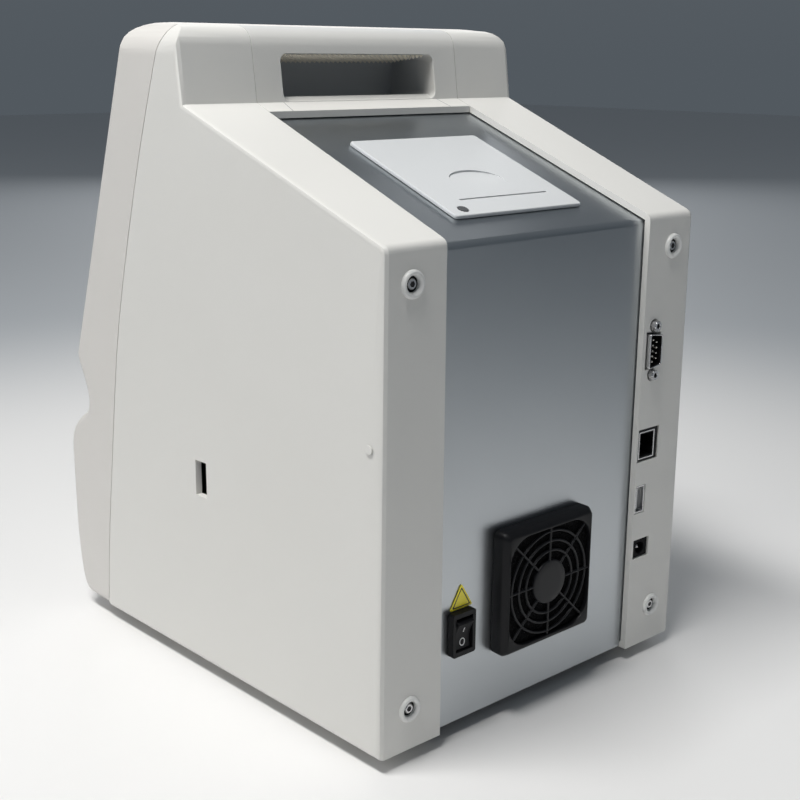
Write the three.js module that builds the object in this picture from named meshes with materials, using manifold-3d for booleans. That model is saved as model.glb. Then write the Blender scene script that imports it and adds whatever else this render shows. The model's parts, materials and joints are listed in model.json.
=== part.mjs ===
// Free-standing automatic lensmeter, in millimetres, +Z up.
// The back of the instrument faces +Y and its screen and lens rest face -Y.
// Inside the main group, y = 0 is the back face of the side shells and z = 0 their lower edge.
import * as THREE from "three";
import { mergeVertices } from "three/addons/utils/BufferGeometryUtils.js";
import Module from "manifold-3d";

const wasm = await Module();
wasm.setup();

// ---------- driving dimensions ----------
const HALF_WIDTH = 102.3;        // at the back, at the lower edge
const TAPER_FORWARD = 0.062;     // the body widens towards the front
const TAPER_UP = 0.011;          // and narrows towards the top
const WALL = 3.2;                // moulded shell wall
const GAP = 0.3;                 // running gap between touching pieces
const SEAM_GAP = 0.5;            // visible joint between the mouldings
const CENTRE_HALF = 66;          // half width of the metal panel and the handle moulding
const BACK_HEIGHT = 228;         // where the slope begins
const SLOPE_TOP = { y: -135.9, z: 279 };
const UPRIGHT_TOP = { y: -139.5, z: 305.4 };
const BODY_TOP = 316;
const FACE_TOP = { y: -190, z: 305 };
const FACE_FOOT = { y: -245.5, z: 145 };
const SHELL_EDGE = 2.4;          // edge rounding of the side shells
const BEND_ROUND = 3;            // rounding where the back turns into the slope
const COVER_EDGE = 5;            // edge rounding of the front cover
const TOP_CORNER = 15;           // rounding of the two top corners
const FOOT_HEIGHT = 7;
const PANEL_RECESS = 3.8;        // metal panel behind the shell surface
const PANEL_THICK = 1.2;
const NOSE_FRONT = -302;         // foremost point, both noses
const GUARD_FRONT = 5.4;         // rearmost point, the fan guard
const AXIS_Y = -280;             // optical axis
const NOSE_HALF = 29;
const HEAD_BOTTOM = 166;
const HEAD_TOP = 197;
const STAGE_TOP = 106;
const STAGE_BOTTOM = 58;
const REST_TOP = 118;            // where the lens lies
const LEDGE_Y = -126;            // back edge of the ledge under the handle
const ROUND = 20;                // facets round a visible circle
const SMALL_ROUND = 12;          // facets round a small or hidden circle

const FAN = { x: 0.5, z: 59.3, size: 60, depth: 15 };
const SWITCH = { x: 51.8, z: 46.6, width: 14.2, height: 21.5, front: 0.2 };
const CUP_X = 85;
const CUP_Z = [20.3, 212];
const SERIAL = { x: -74.2, z: 160.9, screws: [-12.5, 12.5] };
const ETHERNET = { x0: -82.8, x1: -67.5, z0: 103.5, z1: 120 };
const USB = { x0: -75, x1: -67.8, z0: 75.5, z1: 90 };
const POWER = { x0: -80, x1: -68.4, z0: 50.5, z1: 60.3 };
const SIDE_SLOT = { y0: -134, y1: -125, z0: 90.3, z1: 108.5 };
const SIDE_PLUG = { y: -7.8, z: 143.1 };
const DOOR = { half: 41, low: 22, high: 102.3, top: -1.8, thick: 1.7 };
const TRAY = { half: 37, low: 24, high: 97, depth: 49 };
const TABLE = { half: 72, y: -258.5, thick: 3, z0: 112.5, z1: 134 };
const RAIL = { x: 45, z: 121, radius: 3 };
const SCREEN = { width: 178, height: 104, z: 248 };
const READ_BUTTON = { x: 45, z: 74, radius: 7.1 };

// ---------- materials ----------
const FINISH = {
  shell: [0xe6e5df, 0.55, 0],
  cover: [0xe3e0dc, 0.5, 0],
  steel: [0x9fa4a8, 0.38, 0.9],
  darkSteel: [0x6d6f72, 0.45, 0.8],
  printer: [0xeef0f2, 0.4, 0],
  black: [0x17181a, 0.45, 0],
  rubber: [0x202124, 0.85, 0],
  chrome: [0xc9ccd0, 0.2, 1],
  foam: [0x26272a, 0.95, 0],
  glass: [0x0b0d10, 0.08, 0],
  board: [0x1f5a35, 0.6, 0],
  yellow: [0xf2c81e, 0.5, 0],
  casting: [0x55585c, 0.5, 0.7],
  paper: [0xf7f6f2, 0.8, 0],
  grey: [0x84888d, 0.5, 0],
};

const lensmeter = new THREE.Group();
const body = new THREE.Group();
body.position.set(0, -(NOSE_FRONT + GUARD_FRONT) / 2, FOOT_HEIGHT);
lensmeter.add(body);

function addPart(name, geometry, finish, parent = body) {
  const [color, roughness, metalness] = FINISH[finish];
  const material = new THREE.MeshStandardMaterial({ color, roughness, metalness });
  const mesh = new THREE.Mesh(geometry, material);
  mesh.name = name;
  parent.add(mesh);
  return mesh;
}

// ---------- solids and booleans ----------
function toSolid(geometry) {
  const bare = geometry.clone();
  bare.deleteAttribute("normal");
  bare.deleteAttribute("uv");
  const merged = geometry.userData.closed ? bare : mergeVertices(bare, 1e-4);
  const corners = merged.index.array;
  const kept = [];
  for (let i = 0; i < corners.length; i += 3) {
    const [a, b, c] = [corners[i], corners[i + 1], corners[i + 2]];
    if (a !== b && b !== c && c !== a) kept.push(a, b, c);
  }
  const vertProperties = new Float32Array(merged.attributes.position.array);
  return new wasm.Manifold(new wasm.Mesh({ numProp: 3, vertProperties, triVerts: new Uint32Array(kept) }));
}

function toGeometry(solid) {
  const { vertProperties, triVerts } = solid.getMesh();
  const geometry = new THREE.BufferGeometry();
  geometry.setAttribute("position", new THREE.BufferAttribute(vertProperties, 3));
  geometry.setIndex(new THREE.BufferAttribute(triVerts, 1));
  geometry.computeVertexNormals();
  geometry.userData.closed = true;
  return geometry;
}

function combine(operation, first, others) {
  return toGeometry(others.reduce((left, right) => left[operation](toSolid(right)), toSolid(first)));
}

const cut = (base, ...tools) => combine("subtract", base, tools);
const join = (base, ...pieces) => combine("add", base, pieces);
const common = (base, ...pieces) => combine("intersect", base, pieces);

// ---------- basic forms ----------
const vector = (x, y, z) => new THREE.Vector3(x, y, z);
const YZ_PLANE = new THREE.Matrix4().makeBasis(vector(0, 1, 0), vector(0, 0, 1), vector(1, 0, 0));
const XZ_PLANE = new THREE.Matrix4().makeBasis(vector(1, 0, 0), vector(0, 0, 1), vector(0, -1, 0));

function box(x0, x1, y0, y1, z0, z1) {
  const geometry = new THREE.BoxGeometry(x1 - x0, y1 - y0, z1 - z0);
  return geometry.translate((x0 + x1) / 2, (y0 + y1) / 2, (z0 + z1) / 2);
}

// A flat outline, thickened along X, Y or Z.
function prismX(shape, x0, x1, curveSegments = 8) {
  const geometry = new THREE.ExtrudeGeometry(shape, { depth: x1 - x0, bevelEnabled: false, curveSegments });
  return geometry.applyMatrix4(YZ_PLANE).translate(x0, 0, 0);
}

function prismY(shape, y0, y1, curveSegments = 8) {
  const geometry = new THREE.ExtrudeGeometry(shape, { depth: y1 - y0, bevelEnabled: false, curveSegments });
  return geometry.applyMatrix4(XZ_PLANE).translate(0, y1, 0);
}

function prismZ(shape, z0, z1, curveSegments = 8) {
  const geometry = new THREE.ExtrudeGeometry(shape, { depth: z1 - z0, bevelEnabled: false, curveSegments });
  return geometry.translate(0, 0, z0);
}

function rodX(radius, x0, x1, y, z, facets = SMALL_ROUND) {
  const geometry = new THREE.CylinderGeometry(radius, radius, x1 - x0, facets);
  return geometry.rotateZ(Math.PI / 2).translate((x0 + x1) / 2, y, z);
}

function rodY(radius, y0, y1, x, z, facets = SMALL_ROUND) {
  const geometry = new THREE.CylinderGeometry(radius, radius, y1 - y0, facets);
  return geometry.translate(x, (y0 + y1) / 2, z);
}

function rodZ(radius, z0, z1, x, y, facets = SMALL_ROUND) {
  const geometry = new THREE.CylinderGeometry(radius, radius, z1 - z0, facets);
  return geometry.rotateX(Math.PI / 2).translate(x, y, (z0 + z1) / 2);
}

// A turned piece. The profile lists [radius, height] upwards along its outside and closes on itself.
function turnedY(profile, facets = ROUND) {
  const points = profile.map(([radius, height]) => new THREE.Vector2(radius, height));
  return new THREE.LatheGeometry([...points, points[0].clone()], facets);
}

function turnedZ(profile, facets = ROUND) {
  return turnedY(profile, facets).rotateX(Math.PI / 2);
}

function outline(points) {
  const shape = new THREE.Shape();
  points.forEach(([u, v], i) => (i ? shape.lineTo(u, v) : shape.moveTo(u, v)));
  shape.closePath();
  return shape;
}

function roundedRectangle(u0, u1, v0, v1, radius) {
  const shape = new THREE.Shape();
  shape.moveTo(u0 + radius, v0);
  shape.lineTo(u1 - radius, v0);
  shape.absarc(u1 - radius, v0 + radius, radius, -Math.PI / 2, 0);
  shape.absarc(u1 - radius, v1 - radius, radius, 0, Math.PI / 2);
  shape.absarc(u0 + radius, v1 - radius, radius, Math.PI / 2, Math.PI);
  shape.absarc(u0 + radius, v0 + radius, radius, Math.PI, Math.PI * 1.5);
  return shape;
}

// ---------- the body's outer form ----------
const slopeLength = Math.hypot(SLOPE_TOP.y, SLOPE_TOP.z - BACK_HEIGHT);
const slopeUp = vector(0, SLOPE_TOP.y / slopeLength, (SLOPE_TOP.z - BACK_HEIGHT) / slopeLength);
const slopeOut = vector(0, slopeUp.z, -slopeUp.y);
const halfWidthAt = (y, z) => HALF_WIDTH - TAPER_FORWARD * y - TAPER_UP * z;

function taper(geometry) {
  const position = geometry.attributes.position;
  for (let i = 0; i < position.count; i += 1) {
    const scale = halfWidthAt(position.getY(i), position.getZ(i)) / HALF_WIDTH;
    position.setX(i, position.getX(i) * scale);
  }
  return geometry;
}

// Side outline (y, z): straight back, slope, upright with the handle, leaning screen face, waist and base.
function sideOutline(bend) {
  const shape = new THREE.Shape();
  shape.moveTo(0, 0);
  shape.lineTo(0, BACK_HEIGHT - bend);
  if (bend > 0) shape.quadraticCurveTo(0, BACK_HEIGHT, bend * slopeUp.y, BACK_HEIGHT + bend * slopeUp.z);
  shape.lineTo(SLOPE_TOP.y, SLOPE_TOP.z);
  shape.lineTo(UPRIGHT_TOP.y, UPRIGHT_TOP.z);
  shape.quadraticCurveTo(UPRIGHT_TOP.y - 1.1, UPRIGHT_TOP.z + 8.2, UPRIGHT_TOP.y - 9.5, UPRIGHT_TOP.z + 9.2);
  shape.lineTo(-165, BODY_TOP);
  shape.lineTo(-172, BODY_TOP);
  shape.quadraticCurveTo(-185, BODY_TOP, FACE_TOP.y, FACE_TOP.z);
  shape.lineTo(FACE_FOOT.y, FACE_FOOT.z);
  shape.bezierCurveTo(-247, 140, -243, 136, -239.5, 128);
  shape.bezierCurveTo(-235, 119, -235.5, 112.5, -244, 108.5);
  shape.bezierCurveTo(-252, 104, -257, 98, -257, 86);
  shape.lineTo(-257, 55);
  shape.bezierCurveTo(-257, 35, -255.5, 22, -252.5, 10);
  shape.bezierCurveTo(-250.5, 3, -247, 0, -238, 0);
  shape.closePath();
  return shape;
}

// The whole outer form, grown by `grow` (negative shrinks it), with its long edges rounded by `edge`
// and the turn from back to slope rounded by `bend`.
function bodyForm(grow, edge, edgeSteps, bend = 0, curveSegments = 4) {
  const bevel = Math.max(edge, 0.01);
  const depth = 2 * (HALF_WIDTH + grow - bevel);
  const geometry = new THREE.ExtrudeGeometry(sideOutline(bend), {
    depth,
    curveSegments,
    bevelEnabled: true,
    bevelThickness: bevel,
    bevelSize: edge,
    bevelOffset: grow - edge,
    bevelSegments: edgeSteps,
  });
  geometry.applyMatrix4(YZ_PLANE).translate(-depth / 2, 0, 0);
  return geometry;
}

// Seen from behind, the two top corners are round.
function cornerOutline() {
  const low = -20;
  const shape = new THREE.Shape();
  const half = HALF_WIDTH + 0.5;
  shape.moveTo(-half, low);
  shape.lineTo(half, low);
  shape.lineTo(half, BODY_TOP - TOP_CORNER);
  shape.absarc(HALF_WIDTH - TOP_CORNER, BODY_TOP - TOP_CORNER, TOP_CORNER, 0, Math.PI / 2);
  shape.absarc(TOP_CORNER - HALF_WIDTH, BODY_TOP - TOP_CORNER, TOP_CORNER, Math.PI / 2, Math.PI);
  shape.lineTo(-half, BODY_TOP - TOP_CORNER);
  return shape;
}

// Everything in front of the seam between the side shells and the front cover.
function frontRegion(shift) {
  const shape = new THREE.Shape();
  shape.moveTo(-149, 340);
  shape.lineTo(-152.8, 309.5);
  const seam = [[-176.3, 245.3], [-199.2, 165.4], [-211, 95.8], [-218.7, 45.1], [-223.4, 0]];
  shape.splineThru(seam.map(([y, z]) => new THREE.Vector2(y, z)));
  shape.lineTo(-224.5, -20);
  shape.lineTo(-340, -20);
  shape.lineTo(-340, 340);
  shape.closePath();
  return prismX(shape, -140, 140, 3).translate(0, shift, 0);
}

const corners = prismY(cornerOutline(), -340, 20, 4);
const shellForm = taper(common(bodyForm(0, SHELL_EDGE, 2, BEND_ROUND), corners));
const coverForm = taper(common(bodyForm(0, COVER_EDGE, 3, 0, 8), corners));
const innerForm = taper(common(bodyForm(-WALL, 0, 1), corners.clone().translate(0, 0, -WALL)));
const clearForm = taper(bodyForm(GAP, 0, 1));

// ---------- frames of the two leaning surfaces ----------
// Local x is -X, local y runs up the slope from the bend, local z stands out of it.
const SLOPE_FRAME = new THREE.Matrix4().makeBasis(vector(-1, 0, 0), slopeUp, slopeOut);
SLOPE_FRAME.setPosition(0, 0, BACK_HEIGHT);

const faceLength = Math.hypot(FACE_TOP.y - FACE_FOOT.y, FACE_TOP.z - FACE_FOOT.z);
const faceUp = vector(0, (FACE_TOP.y - FACE_FOOT.y) / faceLength, (FACE_TOP.z - FACE_FOOT.z) / faceLength);
const faceOut = vector(0, -faceUp.z, faceUp.y);
// Local x is +X, local y runs up the face, local z stands out of it; the origin is the screen's centre.
const FACE_FRAME = new THREE.Matrix4().makeBasis(vector(1, 0, 0), faceUp, faceOut);
const faceYAt = (z) => FACE_FOOT.y + ((z - FACE_FOOT.z) * faceUp.y) / faceUp.z;
FACE_FRAME.setPosition(0, faceYAt(SCREEN.z), SCREEN.z);

function framedGroup(matrix) {
  const group = new THREE.Group();
  group.applyMatrix4(matrix);
  body.add(group);
  return group;
}

const slope = framedGroup(SLOPE_FRAME);
const face = framedGroup(FACE_FRAME);

// ---------- housings ----------
const FOOT_SPOTS = [[80, -24], [-80, -24], [84, -205], [-84, -205]];

function sideShell(side) {
  const inside = side * (CENTRE_HALF + GAP / 2);
  const half = box(Math.min(inside, side * 130), Math.max(inside, side * 130), -340, 20, -10, 340);
  const tools = [frontRegion(SEAM_GAP / 2), innerForm];
  for (const z of CUP_Z) tools.push(rodY(4.8, -10, 10, side * CUP_X, z, ROUND));
  const spots = FOOT_SPOTS.filter(([x]) => x * side > 0);
  for (const [x, y] of spots) tools.push(rodZ(3.2, -5, 10, x, y));
  if (side > 0) {
    tools.push(box(100, 115, SIDE_SLOT.y0, SIDE_SLOT.y1, SIDE_SLOT.z0, SIDE_SLOT.z1));
    tools.push(rodX(1.8, 90, 115, SIDE_PLUG.y, SIDE_PLUG.z));
  } else {
    tools.push(...portOpenings(GAP + 0.1));
  }
  return cut(common(shellForm, half), ...tools);
}

// D-shaped outline of the serial connector, long side upright.
function serialOutline(grow) {
  const half = 9.3 + grow;
  const wide = 5.2 + grow;
  const slant = 1.2;
  return outline([
    [SERIAL.x - wide, SERIAL.z - half + slant],
    [SERIAL.x + wide, SERIAL.z - half],
    [SERIAL.x + wide, SERIAL.z + half],
    [SERIAL.x - wide, SERIAL.z + half - slant],
  ]);
}

function portOpenings(clearance) {
  const openings = [prismY(serialOutline(clearance), -10, 10)];
  for (const dz of SERIAL.screws) openings.push(rodY(3 + clearance, -10, 10, SERIAL.x, SERIAL.z + dz));
  for (const { x0, x1, z0, z1 } of [ETHERNET, USB, POWER]) {
    openings.push(box(x0 - clearance, x1 + clearance, -10, 10, z0 - clearance, z1 + clearance));
  }
  return openings;
}

addPart("right_shell", sideShell(1), "shell");
addPart("left_shell", sideShell(-1), "shell");

function frontCover() {
  const screenHole = box(
    -SCREEN.width / 2 - GAP, SCREEN.width / 2 + GAP,
    -SCREEN.height / 2 - GAP, SCREEN.height / 2 + GAP, -12, 12,
  ).applyMatrix4(FACE_FRAME);
  const holes = [
    screenHole,
    box(-25, 25, -262, -222, HEAD_BOTTOM + 5, HEAD_TOP - 4),
    box(-25, 25, -262, -240, STAGE_BOTTOM + 5, STAGE_TOP - 9),
    rodY(READ_BUTTON.radius + 0.4, -262, -250, READ_BUTTON.x, READ_BUTTON.z, ROUND),
  ];
  for (const x of [-RAIL.x, RAIL.x]) holes.push(rodY(RAIL.radius + 0.5, -250, -225, x, RAIL.z));
  return cut(common(coverForm, frontRegion(-SEAM_GAP / 2)), innerForm, ...holes);
}

addPart("front_cover", frontCover(), "cover");

// Centre moulding: upright wall, top strip, ledge and the finger pocket of the handle.
// The slope runs on into the pocket as a lip, and the pocket's ceiling falls towards the front.
const POCKET = { half: 50, z0: 279.4, z1: 302, back: -173, wall: 2.4, drop: 4 };
const LIP = { top: -142.5, back: -145.5 };

function handleInsert() {
  const half = CENTRE_HALF - GAP / 2;
  const wall = common(shellForm, box(-half, half, -160, LEDGE_Y, 268, 330));
  const skin = cut(wall, frontRegion(SEAM_GAP / 2), innerForm);
  const { half: pocketHalf, z0, z1, back, wall: thick, drop } = POCKET;
  const bucketSide = outline([
    [back - thick, z0 - thick],
    [SLOPE_TOP.y - 1.4, z0 - thick],
    [UPRIGHT_TOP.y - 1.6, z1 + thick],
    [back - thick, z1 + thick],
  ]);
  const bucket = prismX(bucketSide, -pocketHalf - thick, pocketHalf + thick);
  const mouth = prismY(roundedRectangle(-pocketHalf, pocketHalf, z0, z1, 4), back, -110, 4);
  const ceiling = prismX(outline([[back - 1, z1 + 1], [back - 1, z1 - drop], [-141, z1 + 1]]), -60, 60);
  const lipTop = SLOPE_TOP.z + ((LIP.top - SLOPE_TOP.y) * slopeUp.z) / slopeUp.y;
  const lipSide = outline([[-134, z0 - 2], [-134, z0 - 1], [LIP.top, lipTop], [LIP.back, z0 - 2]]);
  const lip = prismX(lipSide, -60, 60);
  return cut(join(skin, bucket), cut(mouth, ceiling, lip));
}

addPart("handle_insert", handleInsert(), "shell");

// ---------- metal chassis ----------
// Point of the bent panel at a depth behind the shell surface, where the back meets the slope.
const bendZ = (depth) => BACK_HEIGHT - (depth * (1 - slopeOut.y)) / slopeOut.z;

function panelProfile() {
  const outer = PANEL_RECESS;
  const inner = PANEL_RECESS + PANEL_THICK;
  const low = 0.8;
  const run = 140;
  const end = (depth) => [
    slopeUp.y * run - slopeOut.y * depth,
    BACK_HEIGHT + slopeUp.z * run - slopeOut.z * depth,
  ];
  const shape = new THREE.Shape();
  const bend = 2.5;
  shape.moveTo(-inner, low);
  shape.lineTo(-outer, low);
  shape.lineTo(-outer, bendZ(outer) - bend);
  const after = [-outer + slopeUp.y * bend, bendZ(outer) + slopeUp.z * bend];
  shape.quadraticCurveTo(-outer, bendZ(outer), ...after);
  shape.lineTo(...end(outer));
  shape.lineTo(...end(inner));
  shape.lineTo(-inner, bendZ(inner));
  shape.closePath();
  return shape;
}

function rearPanel() {
  const wing = 95;
  const step = CENTRE_HALF - GAP;
  const tools = [
    box(step, 120, -20, 5, -5, WALL + GAP),
    box(-120, -step, -20, 5, -5, WALL + GAP),
    rodY(27.5, -15, 5, FAN.x, FAN.z, ROUND),
    box(SWITCH.x - 6.8, SWITCH.x + 6.8, -15, 5, SWITCH.z - 10.1, SWITCH.z + 10.1),
    box(-TRAY.half, TRAY.half, TRAY.low, TRAY.high, -15, 5).applyMatrix4(SLOPE_FRAME),
    ...portOpenings(GAP + 0.3),
  ];
  for (const x of [-CUP_X, CUP_X]) {
    for (const z of CUP_Z) tools.push(rodY(2.3, -15, 5, x, z));
  }
  return cut(prismX(panelProfile(), -wing, wing, 4), ...tools);
}

addPart("rear_panel", rearPanel(), "steel");

function basePlate() {
  const rear = -(PANEL_RECESS + PANEL_THICK + GAP);
  const front = -236;
  const half = (y) => halfWidthAt(y, 0) - WALL - 1.2;
  const shape = outline([
    [-half(rear), rear], [-half(front), front], [half(front), front], [half(rear), rear],
  ]);
  const plate = prismZ(shape, WALL + GAP, WALL + GAP + 1.5);
  const vents = [];
  for (let i = 0; i < 6; i += 1) vents.push(box(-30, 30, -110 - i * 9, -106 - i * 9, 0, 10));
  return cut(plate, ...vents);
}

addPart("base_plate", basePlate(), "darkSteel");

FOOT_SPOTS.forEach(([x, y], i) => {
  const profile = [
    [0, -FOOT_HEIGHT], [9, -FOOT_HEIGHT], [10, -FOOT_HEIGHT + 1], [11, -GAP],
    [2.9, -GAP], [2.9, WALL], [0, WALL],
  ];
  const foot = turnedZ(profile, SMALL_ROUND).translate(x, y, 0);
  addPart(`foot_${i + 1}`, foot, "rubber");
});

// ---------- finishing cups and their socket screws ----------
function screwCup() {
  return turnedY([
    [2.1, -2.7], [4.4, -2.7], [4.4, GAP], [6.15, GAP], [5.7, 1.1], [4.6, 1.1], [3.7, -1.9], [2.1, -1.9],
  ]);
}

function socketScrew() {
  const profile = [[0, -13], [1.7, -13], [1.7, -1.6], [2.9, -1.6], [2.9, 0], [2.5, 0.3], [0, 0.3]];
  const head = turnedY(profile, SMALL_ROUND);
  const socket = new THREE.CylinderGeometry(1.5, 1.5, 3, 6);
  return cut(head, socket);
}

let cupNumber = 0;
for (const z of CUP_Z) {
  for (const x of [-CUP_X, CUP_X]) {
    cupNumber += 1;
    addPart(`screw_cup_${cupNumber}`, screwCup(), "cover").position.set(x, 0, z);
    addPart(`shell_screw_${cupNumber}`, socketScrew(), "chrome").position.set(x, 0, z);
  }
}

// ---------- cooling fan and its filter guard ----------
const panelFace = -PANEL_RECESS;
const panelBack = -PANEL_RECESS - PANEL_THICK;
const GUARD = { halfX: 30.5, halfZ: 31.25, wall: 1.6, face: 2.4, opening: 27.6, corner: 13 };
const GRILLE = { hub: 11, rings: [15.8, 20.6, 25.4], spokes: 8, wire: 0.75, back: -2, front: -0.6 };

function guardCover() {
  const top = new THREE.ExtrudeGeometry(
    roundedRectangle(-GUARD.halfX, GUARD.halfX, -GUARD.halfZ, GUARD.halfZ, 3.5),
    { depth: GUARD_FRONT - panelFace - GAP - 3.2, bevelEnabled: true, bevelThickness: 3.2, bevelSize: 2.2,
      bevelOffset: -2.2, bevelSegments: 2, curveSegments: 3 },
  ).applyMatrix4(XZ_PLANE).translate(0, GUARD_FRONT - 3.2, 0);
  const clipped = common(top, box(-50, 50, panelFace + GAP, 20, -50, 50));
  const hollow = box(
    -GUARD.halfX + GUARD.wall, GUARD.halfX - GUARD.wall, -20, GUARD_FRONT - GUARD.face,
    -GUARD.halfZ + GUARD.wall, GUARD.halfZ - GUARD.wall,
  );
  const { opening, corner } = GUARD;
  const window = prismY(roundedRectangle(-opening, opening, -opening, opening, corner), -20, 20, 5);
  return join(cut(clipped, hollow, window), ...grilleWires()).translate(FAN.x, 0, FAN.z);
}

// Hub, concentric wires and spokes that fill the guard's rounded window.
function grilleWires() {
  const { hub, rings, spokes, wire } = GRILLE;
  const y0 = GUARD_FRONT + GRILLE.back;
  const y1 = GUARD_FRONT + GRILLE.front;
  const straightReach = GUARD.opening + 0.5;
  const diagonalReach = (GUARD.opening - GUARD.corner) * Math.SQRT2 + GUARD.corner + 0.5;
  const wires = [rodY(hub, y0, y1 + 0.2, 0, 0, ROUND)];
  for (const radius of rings) {
    const [inner, outer] = [radius - wire, radius + wire];
    wires.push(turnedY([[inner, y0], [outer, y0], [outer, y1], [inner, y1]]));
  }
  for (let i = 0; i < spokes; i += 1) {
    const reach = i % 2 ? diagonalReach : straightReach;
    wires.push(box(hub - 1, reach, y0, y1, -wire, wire).rotateY((i * 2 * Math.PI) / spokes));
  }
  return wires;
}

addPart("fan_guard_cover", guardCover(), "black");

const guardInner = GUARD.halfX - GUARD.wall - GAP;
const guardBase = cut(
  box(-guardInner, guardInner, panelFace + GAP, panelFace + GAP + 1.8, -guardInner, guardInner),
  rodY(27, -20, 5, 0, 0, ROUND),
).translate(FAN.x, 0, FAN.z);
addPart("fan_guard_base", guardBase, "black");
addPart("fan_filter", box(-28, 28, panelFace + GAP + 2.1, GUARD_FRONT - GUARD.face - GAP, -28, 28)
  .translate(FAN.x, 0, FAN.z), "foam");

const fanBack = panelBack - GAP - FAN.depth;

function fanFrame() {
  const half = FAN.size / 2;
  const ring = cut(
    prismY(roundedRectangle(-half, half, -half, half, 3), fanBack, panelBack - GAP, 3),
    rodY(28.4, fanBack - 1, 5, 0, 0, ROUND),
  );
  const struts = [rodY(12, fanBack, fanBack + 1.6, 0, 0, SMALL_ROUND)];
  for (let i = 0; i < 3; i += 1) {
    const strut = box(10, 29.5, fanBack, fanBack + 1.6, -1.5, 1.5);
    struts.push(strut.rotateY((i * 2 * Math.PI) / 3));
  }
  return join(ring, ...struts).translate(FAN.x, 0, FAN.z);
}

addPart("fan_frame", fanFrame(), "black");

function fanRotor() {
  const y0 = fanBack + 2.4;
  const y1 = panelBack - GAP - 1.4;
  const blades = [];
  for (let i = 0; i < 7; i += 1) {
    const blade = box(10, 27.2, -4.6, 4.6, -0.6, 0.6).rotateX(0.7).translate(0, (y0 + y1) / 2, 0);
    blades.push(blade.rotateY((i * 2 * Math.PI) / 7));
  }
  return join(rodY(12, y0, y1, 0, 0, 24), ...blades);
}

addPart("fan_rotor", fanRotor(), "black").position.set(FAN.x, 0, FAN.z);

// ---------- mains switch and hazard sticker ----------
const rockerWell = { halfX: 5.2, halfZ: 8.3 };

function switchHousing() {
  const bezel = prismY(
    roundedRectangle(-SWITCH.width / 2, SWITCH.width / 2, -SWITCH.height / 2, SWITCH.height / 2, 1.2),
    panelFace + GAP, SWITCH.front, 3,
  );
  const barrel = box(-6.4, 6.4, -20, panelFace + GAP + 0.5, -9.7, 9.7);
  const terminals = [];
  for (const z of [-6, 0, 6]) terminals.push(box(-2.4, 2.4, -26, -19, z - 0.5, z + 0.5));
  const well = box(-rockerWell.halfX, rockerWell.halfX, -12, 5, -rockerWell.halfZ, rockerWell.halfZ);
  return cut(join(bezel, barrel, ...terminals), well).translate(SWITCH.x, 0, SWITCH.z);
}

addPart("switch_housing", switchHousing(), "black");

// The rocker stands with its lower half pressed in. It turns about the X axis through ROCKER_AXIS_Y.
const ROCKER_AXIS_Y = -4;
const ROCKER_TILT = THREE.MathUtils.degToRad(-12);

function switchRocker() {
  const shape = new THREE.Shape();
  const reach = 7.3;
  shape.moveTo(-2.4, -reach);
  shape.lineTo(4.6, -reach);
  shape.quadraticCurveTo(1.2, 0, 4.6, reach);
  shape.lineTo(-2.4, reach);
  shape.quadraticCurveTo(-3.6, 0, -2.4, -reach);
  return prismX(shape, -rockerWell.halfX + GAP, rockerWell.halfX - GAP, 5).rotateX(ROCKER_TILT);
}

addPart("switch_rocker", switchRocker(), "black").position.set(SWITCH.x, ROCKER_AXIS_Y, SWITCH.z);

const STICKER = { half: 7.2, low: 57.8, high: 70, x: 51 };
const stickerShape = outline([
  [STICKER.x - STICKER.half, STICKER.low], [STICKER.x + STICKER.half, STICKER.low], [STICKER.x, STICKER.high],
]);
addPart("warning_sticker", prismY(stickerShape, panelFace + GAP, panelFace + GAP + 0.25), "yellow");

// ---------- sockets on the left back strip ----------
function serialPort() {
  const flange = box(SERIAL.x - 6.2, SERIAL.x + 6.2, -6.4, panelBack - GAP, SERIAL.z - 15.4, SERIAL.z + 15.4);
  const shellShape = prismY(serialOutline(-0.4), -7, 0.8);
  const pocket = prismY(serialOutline(-1.1), -4, 5);
  const posts = [box(SERIAL.x - 5.4, SERIAL.x + 5.4, -17, -6, SERIAL.z - 9.5, SERIAL.z + 9.5)];
  for (const dz of SERIAL.screws) {
    const nut = new THREE.CylinderGeometry(2.7, 2.7, 8, 6);
    posts.push(nut.translate(SERIAL.x, -1.8, SERIAL.z + dz));
  }
  const pins = [];
  for (let i = 0; i < 9; i += 1) {
    const row = i < 5 ? 1.42 : -1.42;
    const place = i < 5 ? i - 2 : i - 6.5;
    pins.push(rodY(0.5, -4.5, 0.4, SERIAL.x + row, SERIAL.z + place * 2.77, 8));
  }
  return join(cut(join(flange, shellShape, ...posts), pocket), ...pins);
}

function socketBody({ x0, x1, z0, z1 }, depth, front, pocket, extra) {
  const block = box(x0, x1, -depth, front, z0, z1);
  return join(cut(block, pocket), ...extra);
}

const mid = (low, high) => (low + high) / 2;

function ethernetPort() {
  const { x0, x1, z0, z1 } = ETHERNET;
  const z = mid(z0, z1);
  const plug = box(x0 + 3.4, x1 - 1.2, -14, 5, z - 6, z + 6);
  const latch = box(x0 + 1.2, x0 + 3.5, -14, 5, z - 3, z + 3);
  const contacts = [];
  for (let i = 0; i < 8; i += 1) {
    contacts.push(box(x1 - 3.2, x1 - 1.1, -12, -3, z - 3.8 + i * 1.02, z - 3.4 + i * 1.02));
  }
  return socketBody(ETHERNET, 21, -0.6, join(plug, latch), contacts);
}

function usbSocket(area, depth, front, tongueSide) {
  const { x0, x1, z0, z1 } = area;
  const pocket = box(x0 + 0.8, x1 - 0.8, -depth + 2, 5, z0 + 0.8, z1 - 0.8);
  const t0 = tongueSide > 0 ? mid(x0, x1) + 0.4 : x0 + 1.5;
  const tongue = box(t0, t0 + 1.8, -depth + 1, front - 1.2, z0 + 1.7, z1 - 1.7);
  return socketBody(area, depth, front, pocket, [tongue]);
}

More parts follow.
